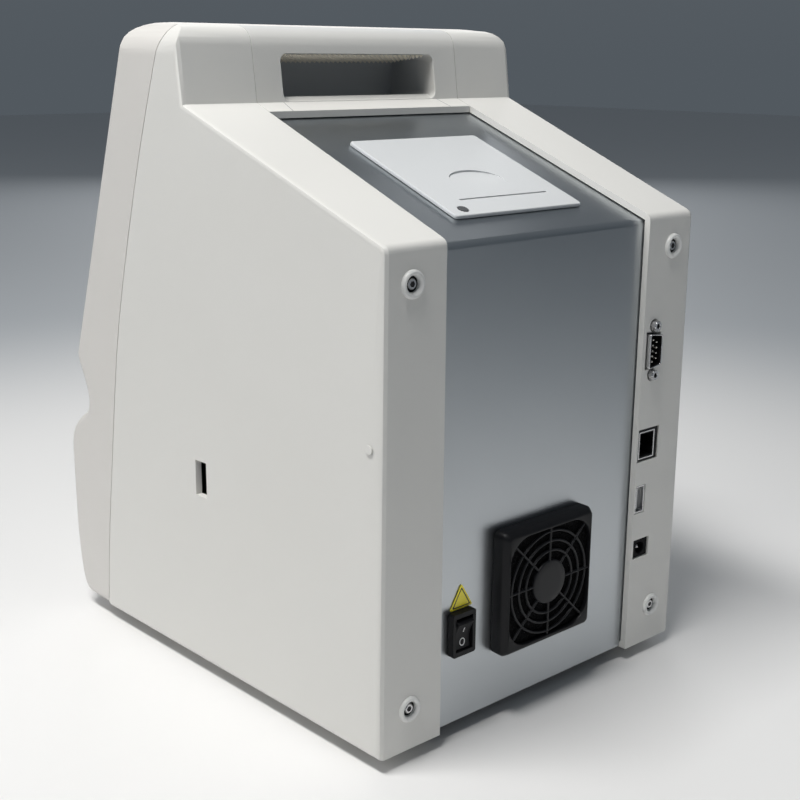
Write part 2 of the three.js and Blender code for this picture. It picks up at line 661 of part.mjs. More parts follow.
function powerJack() {
  const { x0, x1, z0, z1 } = POWER;
  const [x, z] = [mid(x0, x1), mid(z0, z1)];
  return socketBody(POWER, 18, -0.8, rodY(3.2, -11, 5, x, z, ROUND), [rodY(1, -12, -2, x, z, 10)]);
}

addPart("serial_port", serialPort(), "chrome");
addPart("ethernet_port", ethernetPort(), "black");
addPart("usb_port", usbSocket(USB, 19, -0.6, 1), "chrome");
addPart("dc_jack", powerJack(), "black");
addPart("port_board", box(-86, -62, -23.2, -21.6, 44, 182), "board");

// ---------- right side: data socket behind its slot, board and plug ----------
const BOARD_X = 84;
addPart("main_board", box(BOARD_X, BOARD_X + 1.6, -195, -60, 12, 180), "board");

function sideUsbPort() {
  const [y, z] = [mid(SIDE_SLOT.y0, SIDE_SLOT.y1), mid(SIDE_SLOT.z0, SIDE_SLOT.z1)];
  const outerX = 104.6;
  const shell = box(BOARD_X + 1.9, outerX, y - 3.6, y + 3.6, z - 7.3, z + 7.3);
  const pocket = box(BOARD_X + 5, outerX + 5, y - 2.8, y + 2.8, z - 6.5, z + 6.5);
  const tongue = box(BOARD_X + 4, outerX - 1.5, y - 0.2, y + 1.6, z - 5.6, z + 5.6);
  return join(cut(shell, pocket), tongue);
}

addPart("side_usb_port", sideUsbPort(), "black");

const plugFace = halfWidthAt(SIDE_PLUG.y, SIDE_PLUG.z);
const sidePlug = join(
  rodX(1.5, plugFace - 5, plugFace + 0.2, SIDE_PLUG.y, SIDE_PLUG.z),
  rodX(2.1, plugFace + GAP - 0.1, plugFace + 0.7, SIDE_PLUG.y, SIDE_PLUG.z),
);
addPart("side_plug", sidePlug, "shell");

// ---------- printer on the slope ----------
// In the slope's own frame x points to -X, y up the slope and z out of it.
const doorBottom = DOOR.top - DOOR.thick;
const BUTTON = { x: -32.4, y: 27.6, radius: 2.6 };
const PLATEN = { y: 37.5, z: -11, radius: 4 };
const ROLL = { y: 69, z: -28, radius: 18.5 };

const THUMB = { half: 16, start: 47.5, shoulder: 56, top: 64.2, slope: 0.055 };

// Arched finger recess. It deepens up the slope, from nothing at its straight edge.
function thumbRecess() {
  const { half, start, shoulder, top, slope: fall } = THUMB;
  const shape = new THREE.Shape();
  shape.moveTo(-half, start);
  shape.lineTo(half, start);
  shape.lineTo(half, shoulder);
  shape.bezierCurveTo(half - 3, top - 2, 6, top, 0, top);
  shape.bezierCurveTo(-6, top, 3 - half, top - 2, -half, shoulder);
  shape.closePath();
  return prismZ(shape, 0, 5, 5).rotateX(-fall).translate(0, 0, DOOR.top + start * fall);
}

function printerDoor() {
  const lid = new THREE.ExtrudeGeometry(roundedRectangle(-DOOR.half, DOOR.half, DOOR.low, DOOR.high, 2), {
    depth: DOOR.thick - 0.7,
    bevelEnabled: true,
    bevelThickness: 0.7,
    bevelSize: 0.7,
    bevelOffset: -0.7,
    bevelSegments: 2,
    curveSegments: 3,
  }).translate(0, 0, doorBottom);
  const flatBottom = common(lid, box(-60, 60, 0, 120, doorBottom, 5));
  const ears = [];
  for (const x of [-31, 31]) ears.push(box(x - 1.5, x + 1.5, 33, 43, -15, doorBottom + 0.5));
  return cut(
    join(flatBottom, ...ears),
    box(-27, 30, 35.8, 36.8, -10, 5),
    thumbRecess(),
    rodZ(BUTTON.radius + 0.3, -10, 5, BUTTON.x, BUTTON.y),
    rodX(1.6, -40, 40, PLATEN.y, PLATEN.z),
  );
}

addPart("printer_door", printerDoor(), "printer", slope);

const button = join(
  rodZ(BUTTON.radius, doorBottom - 0.9, DOOR.top + 0.25, BUTTON.x, BUTTON.y),
  rodZ(BUTTON.radius + 0.7, doorBottom - 0.9, doorBottom - 0.3, BUTTON.x, BUTTON.y),
);
addPart("feed_button", button, "grey", slope);
const platen = join(
  rodX(PLATEN.radius, -28.8, 28.8, 0, 0, 20),
  rodX(1.3, -33.5, 33.5, 0, 0),
).translate(0, PLATEN.y, PLATEN.z);
addPart("platen_roller", platen, "rubber", slope);

function printerTray() {
  const low = TRAY.low + 0.4;
  const high = TRAY.high - 0.4;
  const half = TRAY.half - 0.4;
  const top = -PANEL_RECESS - PANEL_THICK - GAP;
  const tub = box(-half, half, low, high, -TRAY.depth, top);
  const room = box(-half + 1.6, half - 1.6, low + 1.6, high - 1.6, -TRAY.depth + 1.6, 5);
  return cut(tub, room);
}

addPart("printer_tray", printerTray(), "grey", slope);
addPart("print_head", box(-27, 27, 27, 31.5, -17, -7), "grey", slope);
const roll = cut(rodX(ROLL.radius, -28.5, 28.5, 0, 0, 32), rodX(6.5, -40, 40, 0, 0, 16));
addPart("paper_roll", roll.translate(0, ROLL.y, ROLL.z), "paper", slope);

// ---------- screen ----------
const glass = box(-SCREEN.width / 2, SCREEN.width / 2, -SCREEN.height / 2, SCREEN.height / 2, -2, 0.2);
addPart("touch_glass", glass, "glass", face);
addPart("lcd_module", box(-83, 83, -50, 50, -8.4, -2.3), "darkSteel", face);
const displayFrame = cut(
  box(-92, 92, -54, 54, -9.4, -WALL - GAP),
  box(-83.4, 83.4, -50.4, 50.4, -20, 5),
);
addPart("display_frame", displayFrame, "grey", face);

// ---------- optics: one casting holds the light source above the sensor ----------
const ARM = { half: 16, front: -297 };
const HEAD_ARM = { z0: 172, z1: 184 };
const STAGE_ARM = { z0: 78, z1: 88 };
const LIGHT_RADIUS = 9;
const SENSOR_RADIUS = 11;
const PRESS_ROD = { x: 12.5, radius: 2 };

function opticsFrame() {
  const column = box(-20, 20, -221, -200, WALL + GAP + 1.8, 190);
  const upper = box(-ARM.half, ARM.half, ARM.front, -215, HEAD_ARM.z0, HEAD_ARM.z1);
  const lower = box(-ARM.half, ARM.half, ARM.front, -215, STAGE_ARM.z0, STAGE_ARM.z1);
  const bores = [
    rodZ(LIGHT_RADIUS + GAP, HEAD_ARM.z0 - 1, HEAD_ARM.z1 + 1, 0, AXIS_Y, 24),
    rodZ(SENSOR_RADIUS + GAP, STAGE_ARM.z0 - 1, STAGE_ARM.z1 + 1, 0, AXIS_Y, 24),
  ];
  for (const x of [-PRESS_ROD.x, PRESS_ROD.x]) {
    bores.push(rodZ(PRESS_ROD.radius + 0.4, HEAD_ARM.z0 - 1, HEAD_ARM.z1 + 1, x, AXIS_Y));
  }
  return cut(join(column, upper, lower), ...bores);
}

addPart("optics_frame", opticsFrame(), "casting");

// A hollow nose moulding with rounded edges, fitted against the front cover.
function nose(shape, edge, wall) {
  const depth = 2 * (NOSE_HALF - edge);
  const settings = { depth, bevelEnabled: true, bevelThickness: edge, bevelSize: edge, curveSegments: 5 };
  const outer = new THREE.ExtrudeGeometry(shape, { ...settings, bevelOffset: -edge, bevelSegments: 3 });
  const inner = new THREE.ExtrudeGeometry(shape, {
    depth: 2 * (NOSE_HALF - wall) - 0.02,
    bevelEnabled: true,
    bevelThickness: 0.01,
    bevelSize: 0,
    bevelOffset: -wall,
    bevelSegments: 1,
    curveSegments: 5,
  });
  outer.applyMatrix4(YZ_PLANE).translate(-depth / 2, 0, 0);
  inner.applyMatrix4(YZ_PLANE).translate(-NOSE_HALF + wall + 0.01, 0, 0);
  return cut(outer, inner, clearForm);
}

function headOutline() {
  const shape = new THREE.Shape();
  shape.moveTo(-200, HEAD_TOP + 4);
  shape.lineTo(-285, HEAD_TOP);
  shape.quadraticCurveTo(NOSE_FRONT, HEAD_TOP, NOSE_FRONT, HEAD_TOP - 14);
  shape.lineTo(NOSE_FRONT, HEAD_BOTTOM + 7);
  shape.quadraticCurveTo(NOSE_FRONT, HEAD_BOTTOM, NOSE_FRONT + 8, HEAD_BOTTOM);
  shape.lineTo(-200, HEAD_BOTTOM);
  shape.closePath();
  return shape;
}

function stageOutline() {
  const shape = new THREE.Shape();
  shape.moveTo(-225, STAGE_TOP);
  shape.lineTo(-292, STAGE_TOP);
  shape.quadraticCurveTo(NOSE_FRONT, STAGE_TOP, NOSE_FRONT, STAGE_TOP - 10);
  shape.lineTo(NOSE_FRONT + 2, STAGE_BOTTOM + 22);
  shape.quadraticCurveTo(NOSE_FRONT + 4, STAGE_BOTTOM + 4, NOSE_FRONT + 22, STAGE_BOTTOM);
  shape.lineTo(-225, STAGE_BOTTOM);
  shape.closePath();
  return shape;
}

const NOSE_EDGE = 4;
const NOSE_WALL = 2.4;
const headHoles = [rodZ(8, HEAD_BOTTOM - 2, HEAD_BOTTOM + 6, 0, AXIS_Y, ROUND)];
for (const x of [-PRESS_ROD.x, PRESS_ROD.x]) {
  headHoles.push(rodZ(PRESS_ROD.radius + 0.4, HEAD_BOTTOM - 2, HEAD_BOTTOM + 6, x, AXIS_Y));
}
addPart("head_shroud", cut(nose(headOutline(), NOSE_EDGE, NOSE_WALL), ...headHoles), "cover");
const stageHole = rodZ(5, STAGE_TOP - 6, STAGE_TOP + 2, 0, AXIS_Y, ROUND);
addPart("stage_shroud", cut(nose(stageOutline(), NOSE_EDGE, NOSE_WALL), stageHole), "cover");

const lightBarrel = cut(
  rodZ(LIGHT_RADIUS, 169.5, 188, 0, AXIS_Y, 24),
  rodZ(6.5, 165, 185, 0, AXIS_Y, 20),
);
addPart("light_barrel", lightBarrel, "black");
addPart("led_board", box(-9, 9, AXIS_Y - 9, AXIS_Y + 9, 188.4, 190), "board");

const sensorBarrel = cut(
  rodZ(SENSOR_RADIUS, 72, 103, 0, AXIS_Y, 24),
  rodZ(8.5, 75, 105, 0, AXIS_Y, 20),
);
addPart("sensor_barrel", sensorBarrel, "black");
addPart("sensor_board", box(-11, 11, AXIS_Y - 10, AXIS_Y + 10, 70, 71.6), "board");

const nosepiece = turnedZ([
  [4, STAGE_TOP + GAP], [11, STAGE_TOP + GAP], [11, STAGE_TOP + 2.5], [6.5, REST_TOP - 1.5], [6, REST_TOP],
  [4.6, REST_TOP], [4, REST_TOP - 1],
]).translate(0, AXIS_Y, 0);
addPart("nosepiece", nosepiece, "black");

// ---------- lens press with the three marking pens that ride on it ----------
const PEN_X = [-17, 0, 17];
const PRESS = { z0: 151, z1: 154.5, half: 21, deep: 6.5 };
const PEN_BAR = { z0: 160.8, z1: 163.4 };

function lensPress() {
  const { half, deep, z0, z1 } = PRESS;
  const plate = prismZ(roundedRectangle(-half, half, AXIS_Y - deep, AXIS_Y + deep, 3), z0, z1, 3);
  const rods = [];
  for (const side of [-1, 1]) {
    rods.push(rodZ(PRESS_ROD.radius, z0 + 1, 193, side * PRESS_ROD.x, AXIS_Y));
    rods.push(rodZ(1.3, 145, z0 + 1, side * 7, AXIS_Y, 12));
  }
  return cut(join(plate, ...rods), ...PEN_X.map((x) => rodZ(2, 140, 158, x, AXIS_Y)));
}

function markerPens() {
  const bar = box(-20, 20, AXIS_Y - 4, AXIS_Y + 4, PEN_BAR.z0, PEN_BAR.z1);
  const rodHoles = [-PRESS_ROD.x, PRESS_ROD.x].map((x) => rodZ(PRESS_ROD.radius + 0.4, 150, 170, x, AXIS_Y));
  const pens = PEN_X.map((x) => rodZ(1.5, 149.5, PEN_BAR.z0 + 1, x, AXIS_Y, 12));
  return join(cut(bar, ...rodHoles), ...pens);
}

addPart("lens_press", lensPress(), "darkSteel");
addPart("marker_pens", markerPens(), "chrome");

// ---------- lens table on its two rails, and the width slider ----------
function lensTable() {
  const plate = prismY(
    roundedRectangle(-TABLE.half, TABLE.half, TABLE.z0, TABLE.z1, 4), TABLE.y - TABLE.thick / 2,
    TABLE.y + TABLE.thick / 2, 4,
  );
  const rails = [-RAIL.x, RAIL.x].map((x) => rodY(RAIL.radius, TABLE.y, -184, x, RAIL.z));
  return join(plate, ...rails);
}

addPart("lens_table", lensTable(), "grey");

function tableGuide() {
  const bar = box(-54, 54, -199, -188, RAIL.z - 8, RAIL.z + 8);
  return cut(bar, ...[-RAIL.x, RAIL.x].map((x) => rodY(RAIL.radius + 0.1, -210, -180, x, RAIL.z)));
}

addPart("table_guide", tableGuide(), "casting");

function pdSlider() {
  const front = TABLE.y - TABLE.thick / 2;
  const back = TABLE.y + TABLE.thick / 2;
  return join(
    box(-7, 7, front - 2.6, back + 2.6, TABLE.z1 + GAP, TABLE.z1 + 4.5),
    box(-7, 7, front - 2.6, front - GAP, 122, TABLE.z1 + 1),
    box(-7, 7, back + GAP, back + 2.6, 124, TABLE.z1 + 1),
  );
}

addPart("pd_slider", pdSlider(), "black");

// The button and the flange that keeps it behind the cover.
const { x: readX, z: readZ, radius: readRadius } = READ_BUTTON;
const readButton = join(
  rodY(readRadius, -259, -250, readX, readZ, ROUND),
  rodY(readRadius + 1.5, -252.6, -250, readX, readZ, ROUND),
);
addPart("read_button", readButton, "grey");

export default lensmeter;
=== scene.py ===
"""Visual model of a free-standing lensmeter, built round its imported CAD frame."""

import json
import math

import bmesh
import bpy
from mathutils import Matrix, Vector


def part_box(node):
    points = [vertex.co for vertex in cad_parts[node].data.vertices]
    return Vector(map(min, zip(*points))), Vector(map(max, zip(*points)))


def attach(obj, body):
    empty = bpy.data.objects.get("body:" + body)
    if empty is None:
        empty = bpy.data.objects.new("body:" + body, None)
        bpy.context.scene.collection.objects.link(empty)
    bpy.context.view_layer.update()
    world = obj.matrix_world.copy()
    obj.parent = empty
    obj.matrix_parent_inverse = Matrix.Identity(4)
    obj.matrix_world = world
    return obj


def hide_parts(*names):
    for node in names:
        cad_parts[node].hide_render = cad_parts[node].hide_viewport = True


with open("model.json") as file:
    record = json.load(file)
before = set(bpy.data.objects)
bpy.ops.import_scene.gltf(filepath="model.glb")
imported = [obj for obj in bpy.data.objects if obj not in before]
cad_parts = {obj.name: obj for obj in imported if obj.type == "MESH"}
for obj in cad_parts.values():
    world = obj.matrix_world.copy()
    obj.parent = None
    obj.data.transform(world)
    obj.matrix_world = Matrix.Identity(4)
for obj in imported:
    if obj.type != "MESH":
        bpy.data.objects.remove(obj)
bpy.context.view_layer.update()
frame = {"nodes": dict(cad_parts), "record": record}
body_of_node = {
    node: body
    for body, nodes in frame["record"]["behaviour"]["bodies"].items()
    for node in nodes
}
slot_of_node = {row["node"]: row["material_slot"] for row in frame["record"]["subparts"]}

MM = 0.001

# ---------------------------------------------------------------- places taken from the frame
SHELL_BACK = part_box("right_shell")[1].y
BODY_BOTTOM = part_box("right_shell")[0].z
BEND_HEIGHT = BODY_BOTTOM + 228 * MM    # where the back turns into the slope
SLOPE_HEIGHT, SLOPE_DEPTH = 51 * MM, 135.9 * MM
SLOPE_RISE = SLOPE_HEIGHT / SLOPE_DEPTH  # height gained for each step forward on the slope


def opening_box(name):
    """The low and high corners of an opening that the record names."""
    return next(row for row in frame["record"]["physics"]["openings"] if row["name"] == name)["box_m"]


# ---------------------------------------------------------------- camera, floor and light
CAMERA_PLACE = Vector((0.4089, SHELL_BACK + 0.3690, BODY_BOTTOM + 0.3001))
CAMERA_TURN = math.radians(40.71)
CAMERA_DROP = math.radians(15.56)
CAMERA_ROLL = math.radians(0.30)
LENS_MM = 55.26


def make_camera():
    data = bpy.data.cameras.new("camera")
    data.lens = LENS_MM
    data.sensor_width = 36.0
    data.clip_start = 0.01
    data.clip_end = 20.0
    camera = bpy.data.objects.new("camera", data)
    bpy.context.scene.collection.objects.link(camera)
    turn, drop = CAMERA_TURN, CAMERA_DROP
    level = math.cos(drop)
    ahead = Vector((-math.sin(turn) * level, -math.cos(turn) * level, -math.sin(drop)))
    right = ahead.cross(Vector((0, 0, 1))).normalized()
    up = right.cross(ahead)
    rolled_right = right * math.cos(CAMERA_ROLL) + up * math.sin(CAMERA_ROLL)
    rolled_up = up * math.cos(CAMERA_ROLL) - right * math.sin(CAMERA_ROLL)
    columns = Matrix((rolled_right, rolled_up, -ahead)).transposed()
    camera.matrix_world = Matrix.Translation(CAMERA_PLACE) @ columns.to_4x4()
    bpy.context.scene.camera = camera


def area_light(name, place, target, size, power, color=(1, 1, 1)):
    """A rectangular lamp that faces a point: places and sizes in metres, power in watts."""
    data = bpy.data.lights.new(name, "AREA")
    data.shape = "RECTANGLE"
    data.size, data.size_y = size
    data.energy = power
    data.color = color
    light = bpy.data.objects.new(name, data)
    bpy.context.scene.collection.objects.link(light)
    light.location = Vector(place)
    light.rotation_euler = (Vector(target) - light.location).to_track_quat("-Z", "Y").to_euler()


def make_floor():
    """A pale floor with a painted pool of light: its colour turns greyer away from the object."""
    half = 6.0
    mesh = bpy.data.meshes.new("floor")
    corners = [(-half, -half, 0), (half, -half, 0), (half, half, 0), (-half, half, 0)]
    mesh.from_pydata(corners, [], [(0, 1, 2, 3)])
    floor = bpy.data.objects.new("floor", mesh)
    bpy.context.scene.collection.objects.link(floor)
    finish = bpy.data.materials.new("floor")
    finish.use_nodes = True
    nodes, links = finish.node_tree.nodes, finish.node_tree.links
    shader = nodes["Principled BSDF"]
    shader.inputs["Roughness"].default_value = 0.6
    place = nodes.new("ShaderNodeTexCoord")
    distance = nodes.new("ShaderNodeVectorMath")
    distance.operation = "LENGTH"
    light_pool_ramp = nodes.new("ShaderNodeValToRGB")
    links.new(place.outputs["Object"], distance.inputs[0])
    links.new(distance.outputs["Value"], light_pool_ramp.inputs[0])
    links.new(light_pool_ramp.outputs[0], shader.inputs["Base Color"])
    # painted light: pale near the object and greyer far off, a pool of light painted into the floor's
    # colour
    near, far = light_pool_ramp.color_ramp.elements
    near.position, near.color = 0.38, (0.82, 0.815, 0.81, 1)
    far.position, far.color = 0.95, (0.48, 0.505, 0.53, 1)
    light_pool_ramp.color_ramp.interpolation = "EASE"
    mesh.materials.append(finish)


def make_world():
    """An even grey surrounding, a little lighter towards the top."""
    world = bpy.data.worlds.new("studio")
    bpy.context.scene.world = world
    world.use_nodes = True
    nodes, links = world.node_tree.nodes, world.node_tree.links
    sky = nodes["Background"]
    place = nodes.new("ShaderNodeTexCoord")
    split = nodes.new("ShaderNodeSeparateXYZ")
    ramp = nodes.new("ShaderNodeValToRGB")
    links.new(place.outputs["Generated"], split.inputs[0])
    links.new(split.outputs["Z"], ramp.inputs[0])
    links.new(ramp.outputs[0], sky.inputs["Color"])
    ramp.color_ramp.elements[0].color = (0.085, 0.10, 0.115, 1)
    ramp.color_ramp.elements[1].color = (0.16, 0.175, 0.19, 1)
    ramp.color_ramp.elements[1].position = 0.9
    sky.inputs["Strength"].default_value = 1.0


def set_exposure():
    view = bpy.context.scene.view_settings
    view.view_transform = "Standard"
    view.look = "None"


make_camera()
make_floor()
make_world()
set_exposure()
area_light("key", (0.55, 0.08, 1.50), (0, 0, 0.12), (0.8, 0.25), 21.5, (1, 0.99, 0.97))
area_light("window", (1.65, -0.50, 0.85), (0, 0, 0.15), (1.1, 1.1), 4.0, (1, 0.985, 0.95))
area_light("back_fill", (-0.6, 2.0, 0.9), (0, 0, 0.12), (1.2, 0.8), 0.3, (0.86, 0.93, 1))
area_light("front_fill", (-1.5, -1.8, 1.0), (0, 0, 0.15), (1.4, 1.2), 9)


# ---------------------------------------------------------------- materials
class Finish:
    """One procedural material on object coordinates, in metres."""

    def __init__(self, name, base, roughness, metallic=0.0, **sockets):
        self.material = bpy.data.materials.new(name)
        self.material.use_nodes = True
        self.nodes = self.material.node_tree.nodes
        self.links = self.material.node_tree.links
        self.shader = self.nodes["Principled BSDF"]
        self.shader.inputs["Base Color"].default_value = (*base, 1)
        self.shader.inputs["Roughness"].default_value = roughness
        self.shader.inputs["Metallic"].default_value = metallic
        for socket, value in sockets.items():
            self.shader.inputs[socket.replace("_", " ")].default_value = value
        self.place = self.nodes.new("ShaderNodeTexCoord").outputs["Object"]
        self.bump = None

    def noise(self, scale, detail=3.0, stretch=None):
        node = self.nodes.new("ShaderNodeTexNoise")
        node.inputs["Scale"].default_value = scale
        node.inputs["Detail"].default_value = detail
        source = self.place
        if stretch:
            mapping = self.nodes.new("ShaderNodeMapping")
            mapping.inputs["Scale"].default_value = stretch
            self.links.new(source, mapping.inputs["Vector"])
            source = mapping.outputs["Vector"]
        self.links.new(source, node.inputs["Vector"])
        return node.outputs["Fac"]

    def cells(self, scale):
        node = self.nodes.new("ShaderNodeTexVoronoi")
        node.inputs["Scale"].default_value = scale
        self.links.new(self.place, node.inputs["Vector"])
        return node.outputs["Distance"]

    def map(self, value, low, high, source_low=0.2, source_high=0.8):
        """Spreads a value, which for noise seldom leaves 0.2 to 0.8, from low to high."""
        node = self.nodes.new("ShaderNodeMapRange")
        node.inputs["From Min"].default_value = source_low
        node.inputs["From Max"].default_value = source_high
        node.inputs["To Min"].default_value = low
        node.inputs["To Max"].default_value = high
        self.links.new(value, node.inputs["Value"])
        return node.outputs["Result"]

    def tint(self, value, first, second):
        return self.tint_by(self.map(value, 0, 1), first, second)

    def tint_by(self, factor, first, second):
        node = self.nodes.new("ShaderNodeMix")
        node.data_type = "RGBA"
        node.inputs["A"].default_value = (*first, 1)
        node.inputs["B"].default_value = (*second, 1)
        self.links.new(factor, node.inputs["Factor"])
        self.links.new(node.outputs["Result"], self.shader.inputs["Base Color"])
        return self

    def rough(self, value, low, high):
        self.links.new(self.map(value, low, high), self.shader.inputs["Roughness"])
        return self

    def relief(self, height, depth, strength=1.0):
        node = self.nodes.new("ShaderNodeBump")
        node.inputs["Distance"].default_value = depth
        node.inputs["Strength"].default_value = strength
        self.links.new(height, node.inputs["Height"])
        if self.bump:
            self.links.new(self.bump, node.inputs["Normal"])
        self.bump = node.outputs["Normal"]
        self.links.new(self.bump, self.shader.inputs["Normal"])
        return self


def moulded(name, base, other, roughness, grain=1500, depth=0.00004, specular=0.5):
    """Injection-moulded plastic: spark-eroded grain, slow drift of tone and gloss."""
    finish = Finish(name, base, roughness, Specular_IOR_Level=specular)
    finish.tint(finish.noise(9, 4), base, other)
    finish.rough(finish.noise(40, 4), roughness - 0.05, roughness + 0.06)
    finish.relief(finish.noise(grain, 4), depth, 0.6)
    finish.relief(finish.noise(26, 2), 0.00012, 0.15)
    return finish.material


def pocket_shell_painted_shade():
    """The shell's plastic, with painted shade that turns it grey deeper inside the handle's finger pocket.
    """
    high = opening_box("handle_pocket")[1]
    finish = Finish("pocket_shell_painted_shade", (0.715, 0.705, 0.675), 0.48)
    split = finish.nodes.new("ShaderNodeSeparateXYZ")
    finish.links.new(finish.place, split.inputs[0])
    # painted shade: the colour darkens to grey from 3 mm inside the pocket's mouth to 15 mm in, and stays
    # grey deeper in
    start = high[1] - 3 * MM
    depth = finish.map(split.outputs["Y"], 1, 0, start - 12 * MM, start)
    finish.tint_by(depth, (0.72, 0.71, 0.68), (0.50, 0.51, 0.52))
    finish.rough(finish.noise(40, 4), 0.43, 0.54)
    finish.relief(finish.noise(1500, 4), 0.00004, 0.6)
    return finish.material


def panel_steel():
    """Satin sheet steel with faint streaks and slow changes of tone."""
    finish = Finish("panel_steel", (0.50, 0.52, 0.54), 0.36, 1.0)
    streaks = finish.noise(60, 5, (1.0, 1.0, 34.0))
    finish.tint(finish.noise(7, 3), (0.46, 0.49, 0.515), (0.51, 0.535, 0.555))
    finish.rough(finish.noise(18, 3), 0.27, 0.35)
    finish.relief(streaks, 0.00001, 0.25)
    finish.relief(finish.noise(2200, 2), 0.000008, 0.3)
    return finish.material


def plain_metal(name, base, roughness, grain=900):
    finish = Finish(name, base, roughness, 1.0)
    finish.rough(finish.noise(120, 4), roughness - 0.06, roughness + 0.10)
    finish.tint(finish.noise(60, 3), base, tuple(c * 0.86 for c in base))
    finish.relief(finish.noise(grain, 3), 0.00001, 0.3)
    return finish.material


def rubber():
    finish = Finish("rubber", (0.018, 0.018, 0.019), 0.8)
    finish.tint(finish.noise(80, 4), (0.014, 0.014, 0.015), (0.03, 0.03, 0.031))
    finish.rough(finish.noise(200, 3), 0.7, 0.9)
    finish.relief(finish.noise(900, 3), 0.00006, 0.6)
    return finish.material


def filter_foam():
    finish = Finish("filter_foam", (0.004, 0.004, 0.0045), 0.95, Specular_IOR_Level=0.1)
    cells = finish.cells(900)
    finish.tint(cells, (0.002, 0.002, 0.002), (0.008, 0.008, 0.0085))
    finish.relief(cells, 0.0006, 1.0)
    return finish.material


def screen_glass():
    finish = Finish("screen_glass", (0.004, 0.005, 0.007), 0.06, Coat_Weight=1.0, Coat_Roughness=0.03)
    finish.tint(finish.noise(30, 3), (0.004, 0.005, 0.007), (0.006, 0.007, 0.010))
    finish.rough(finish.noise(25, 5), 0.04, 0.14)
    return finish.material


def circuit_board():
    finish = Finish("circuit_board", (0.012, 0.10, 0.035), 0.45)
    finish.tint(finish.noise(300, 2), (0.008, 0.075, 0.025), (0.018, 0.13, 0.05))
    finish.relief(finish.noise(500, 2), 0.00008, 0.5)
    return finish.material


def paper():
    finish = Finish("paper", (0.82, 0.81, 0.78), 0.85)
    finish.tint(finish.noise(300, 3, (1, 8, 8)), (0.84, 0.83, 0.80), (0.76, 0.75, 0.72))
    finish.relief(finish.noise(1800, 3), 0.00004, 0.5)
    return finish.material


def casting():
    finish = Finish("casting", (0.16, 0.165, 0.175), 0.6, 0.8)
    finish.tint(finish.noise(50, 4), (0.13, 0.135, 0.145), (0.20, 0.205, 0.215))
    finish.relief(finish.noise(450, 4), 0.00015, 0.7)
    return finish.material


FINISHES = {
    "shell": moulded("shell", (0.715, 0.705, 0.675), (0.735, 0.727, 0.70), 0.48),
    "cover": moulded("cover", (0.675, 0.655, 0.625), (0.695, 0.675, 0.65), 0.46),
    "panel_steel": panel_steel(),
    "chassis_steel": plain_metal("chassis_steel", (0.36, 0.37, 0.38), 0.4),
    "printer_plastic": moulded(
        "printer_plastic", (0.63, 0.645, 0.655), (0.655, 0.67, 0.68), 0.36, 1700, 0.00002),
    "black_plastic": moulded(
        "black_plastic", (0.0055, 0.0057, 0.0068), (0.008, 0.0082, 0.0096), 0.42, 1300, 0.00005, 0.22),
    "rubber": rubber(),
    "chrome": plain_metal("chrome", (0.66, 0.66, 0.67), 0.2),
    "filter_foam": filter_foam(),
    "screen_glass": screen_glass(),
    "circuit_board": circuit_board(),
    "sticker_yellow": moulded(
        "sticker_yellow", (0.95, 0.79, 0.03), (0.97, 0.83, 0.06), 0.34, 900, 0.00001),
    "casting": casting(),
    "paper": paper(),
    "grey_plastic": moulded("grey_plastic", (0.20, 0.21, 0.225), (0.225, 0.235, 0.25), 0.45),
    "pocket_shell_painted_shade": pocket_shell_painted_shade(),
    "cover_white": moulded(
        "cover_white", (0.74, 0.74, 0.72), (0.77, 0.77, 0.755), 0.34, 900, 0.00001),
    "grille_black": moulded(
        "grille_black", (0.0075, 0.0077, 0.009), (0.0105, 0.0107, 0.0125), 0.38, 1300, 0.00003, 0.28),
    "mark_white": moulded("mark_white", (0.62, 0.62, 0.62), (0.7, 0.7, 0.7), 0.5),
    "mark_black": moulded("mark_black", (0.012, 0.012, 0.010), (0.02, 0.02, 0.018), 0.4),
    "grip_beige": moulded("grip_beige", (0.80, 0.74, 0.62), (0.84, 0.78, 0.67), 0.6),
    "white_insert": moulded("white_insert", (0.68, 0.68, 0.67), (0.72, 0.72, 0.71), 0.4),
    "socket_black": moulded(
        "socket_black", (0.005, 0.005, 0.0055), (0.008, 0.008, 0.0085), 0.6, 1300, 0.00003, 0.1),
    "button_grey": moulded(
        "button_grey", (0.055, 0.058, 0.062), (0.07, 0.073, 0.078), 0.4, 900, 0.00002),
    "cardboard": moulded(
        "cardboard", (0.30, 0.22, 0.14), (0.36, 0.27, 0.18), 0.8, 700, 0.00008, 0.2),
    "pin_metal": plain_metal("pin_metal", (0.82, 0.80, 0.74), 0.25),
}


# ---------------------------------------------------------------- mesh helpers
def new_piece(name, mesh, finish, body, *nodes, slot=None):
    """Puts a mesh in the scene: its finish, the body it rides on and the CAD nodes it stands for."""
    piece = bpy.data.objects.new(name, mesh)
    bpy.context.scene.collection.objects.link(piece)
    mesh.materials.clear()
    mesh.materials.append(FINISHES[finish])
    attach(piece, body)
    if nodes:
        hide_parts(*nodes)
    return piece


def mesh_from(bm, name, smooth_angle=35):
    bmesh.ops.recalc_face_normals(bm, faces=bm.faces)
    mesh = bpy.data.meshes.new(name)
    bm.to_mesh(mesh)
    bm.free()
    mesh.shade_smooth()
    mesh.set_sharp_from_angle(angle=math.radians(smooth_angle))
    return mesh


def soften(piece, width, segments=2, angle=35):
    """Rounds the edges and keeps the flats flat."""
    bevel = piece.modifiers.new("edge", "BEVEL")
    bevel.width = width
    bevel.segments = segments
    bevel.limit_method = "ANGLE"
    bevel.angle_limit = math.radians(angle)
    bevel.use_clamp_overlap = True
    normals = piece.modifiers.new("normals", "WEIGHTED_NORMAL")
    normals.keep_sharp = True
    normals.weight = 80
    return piece


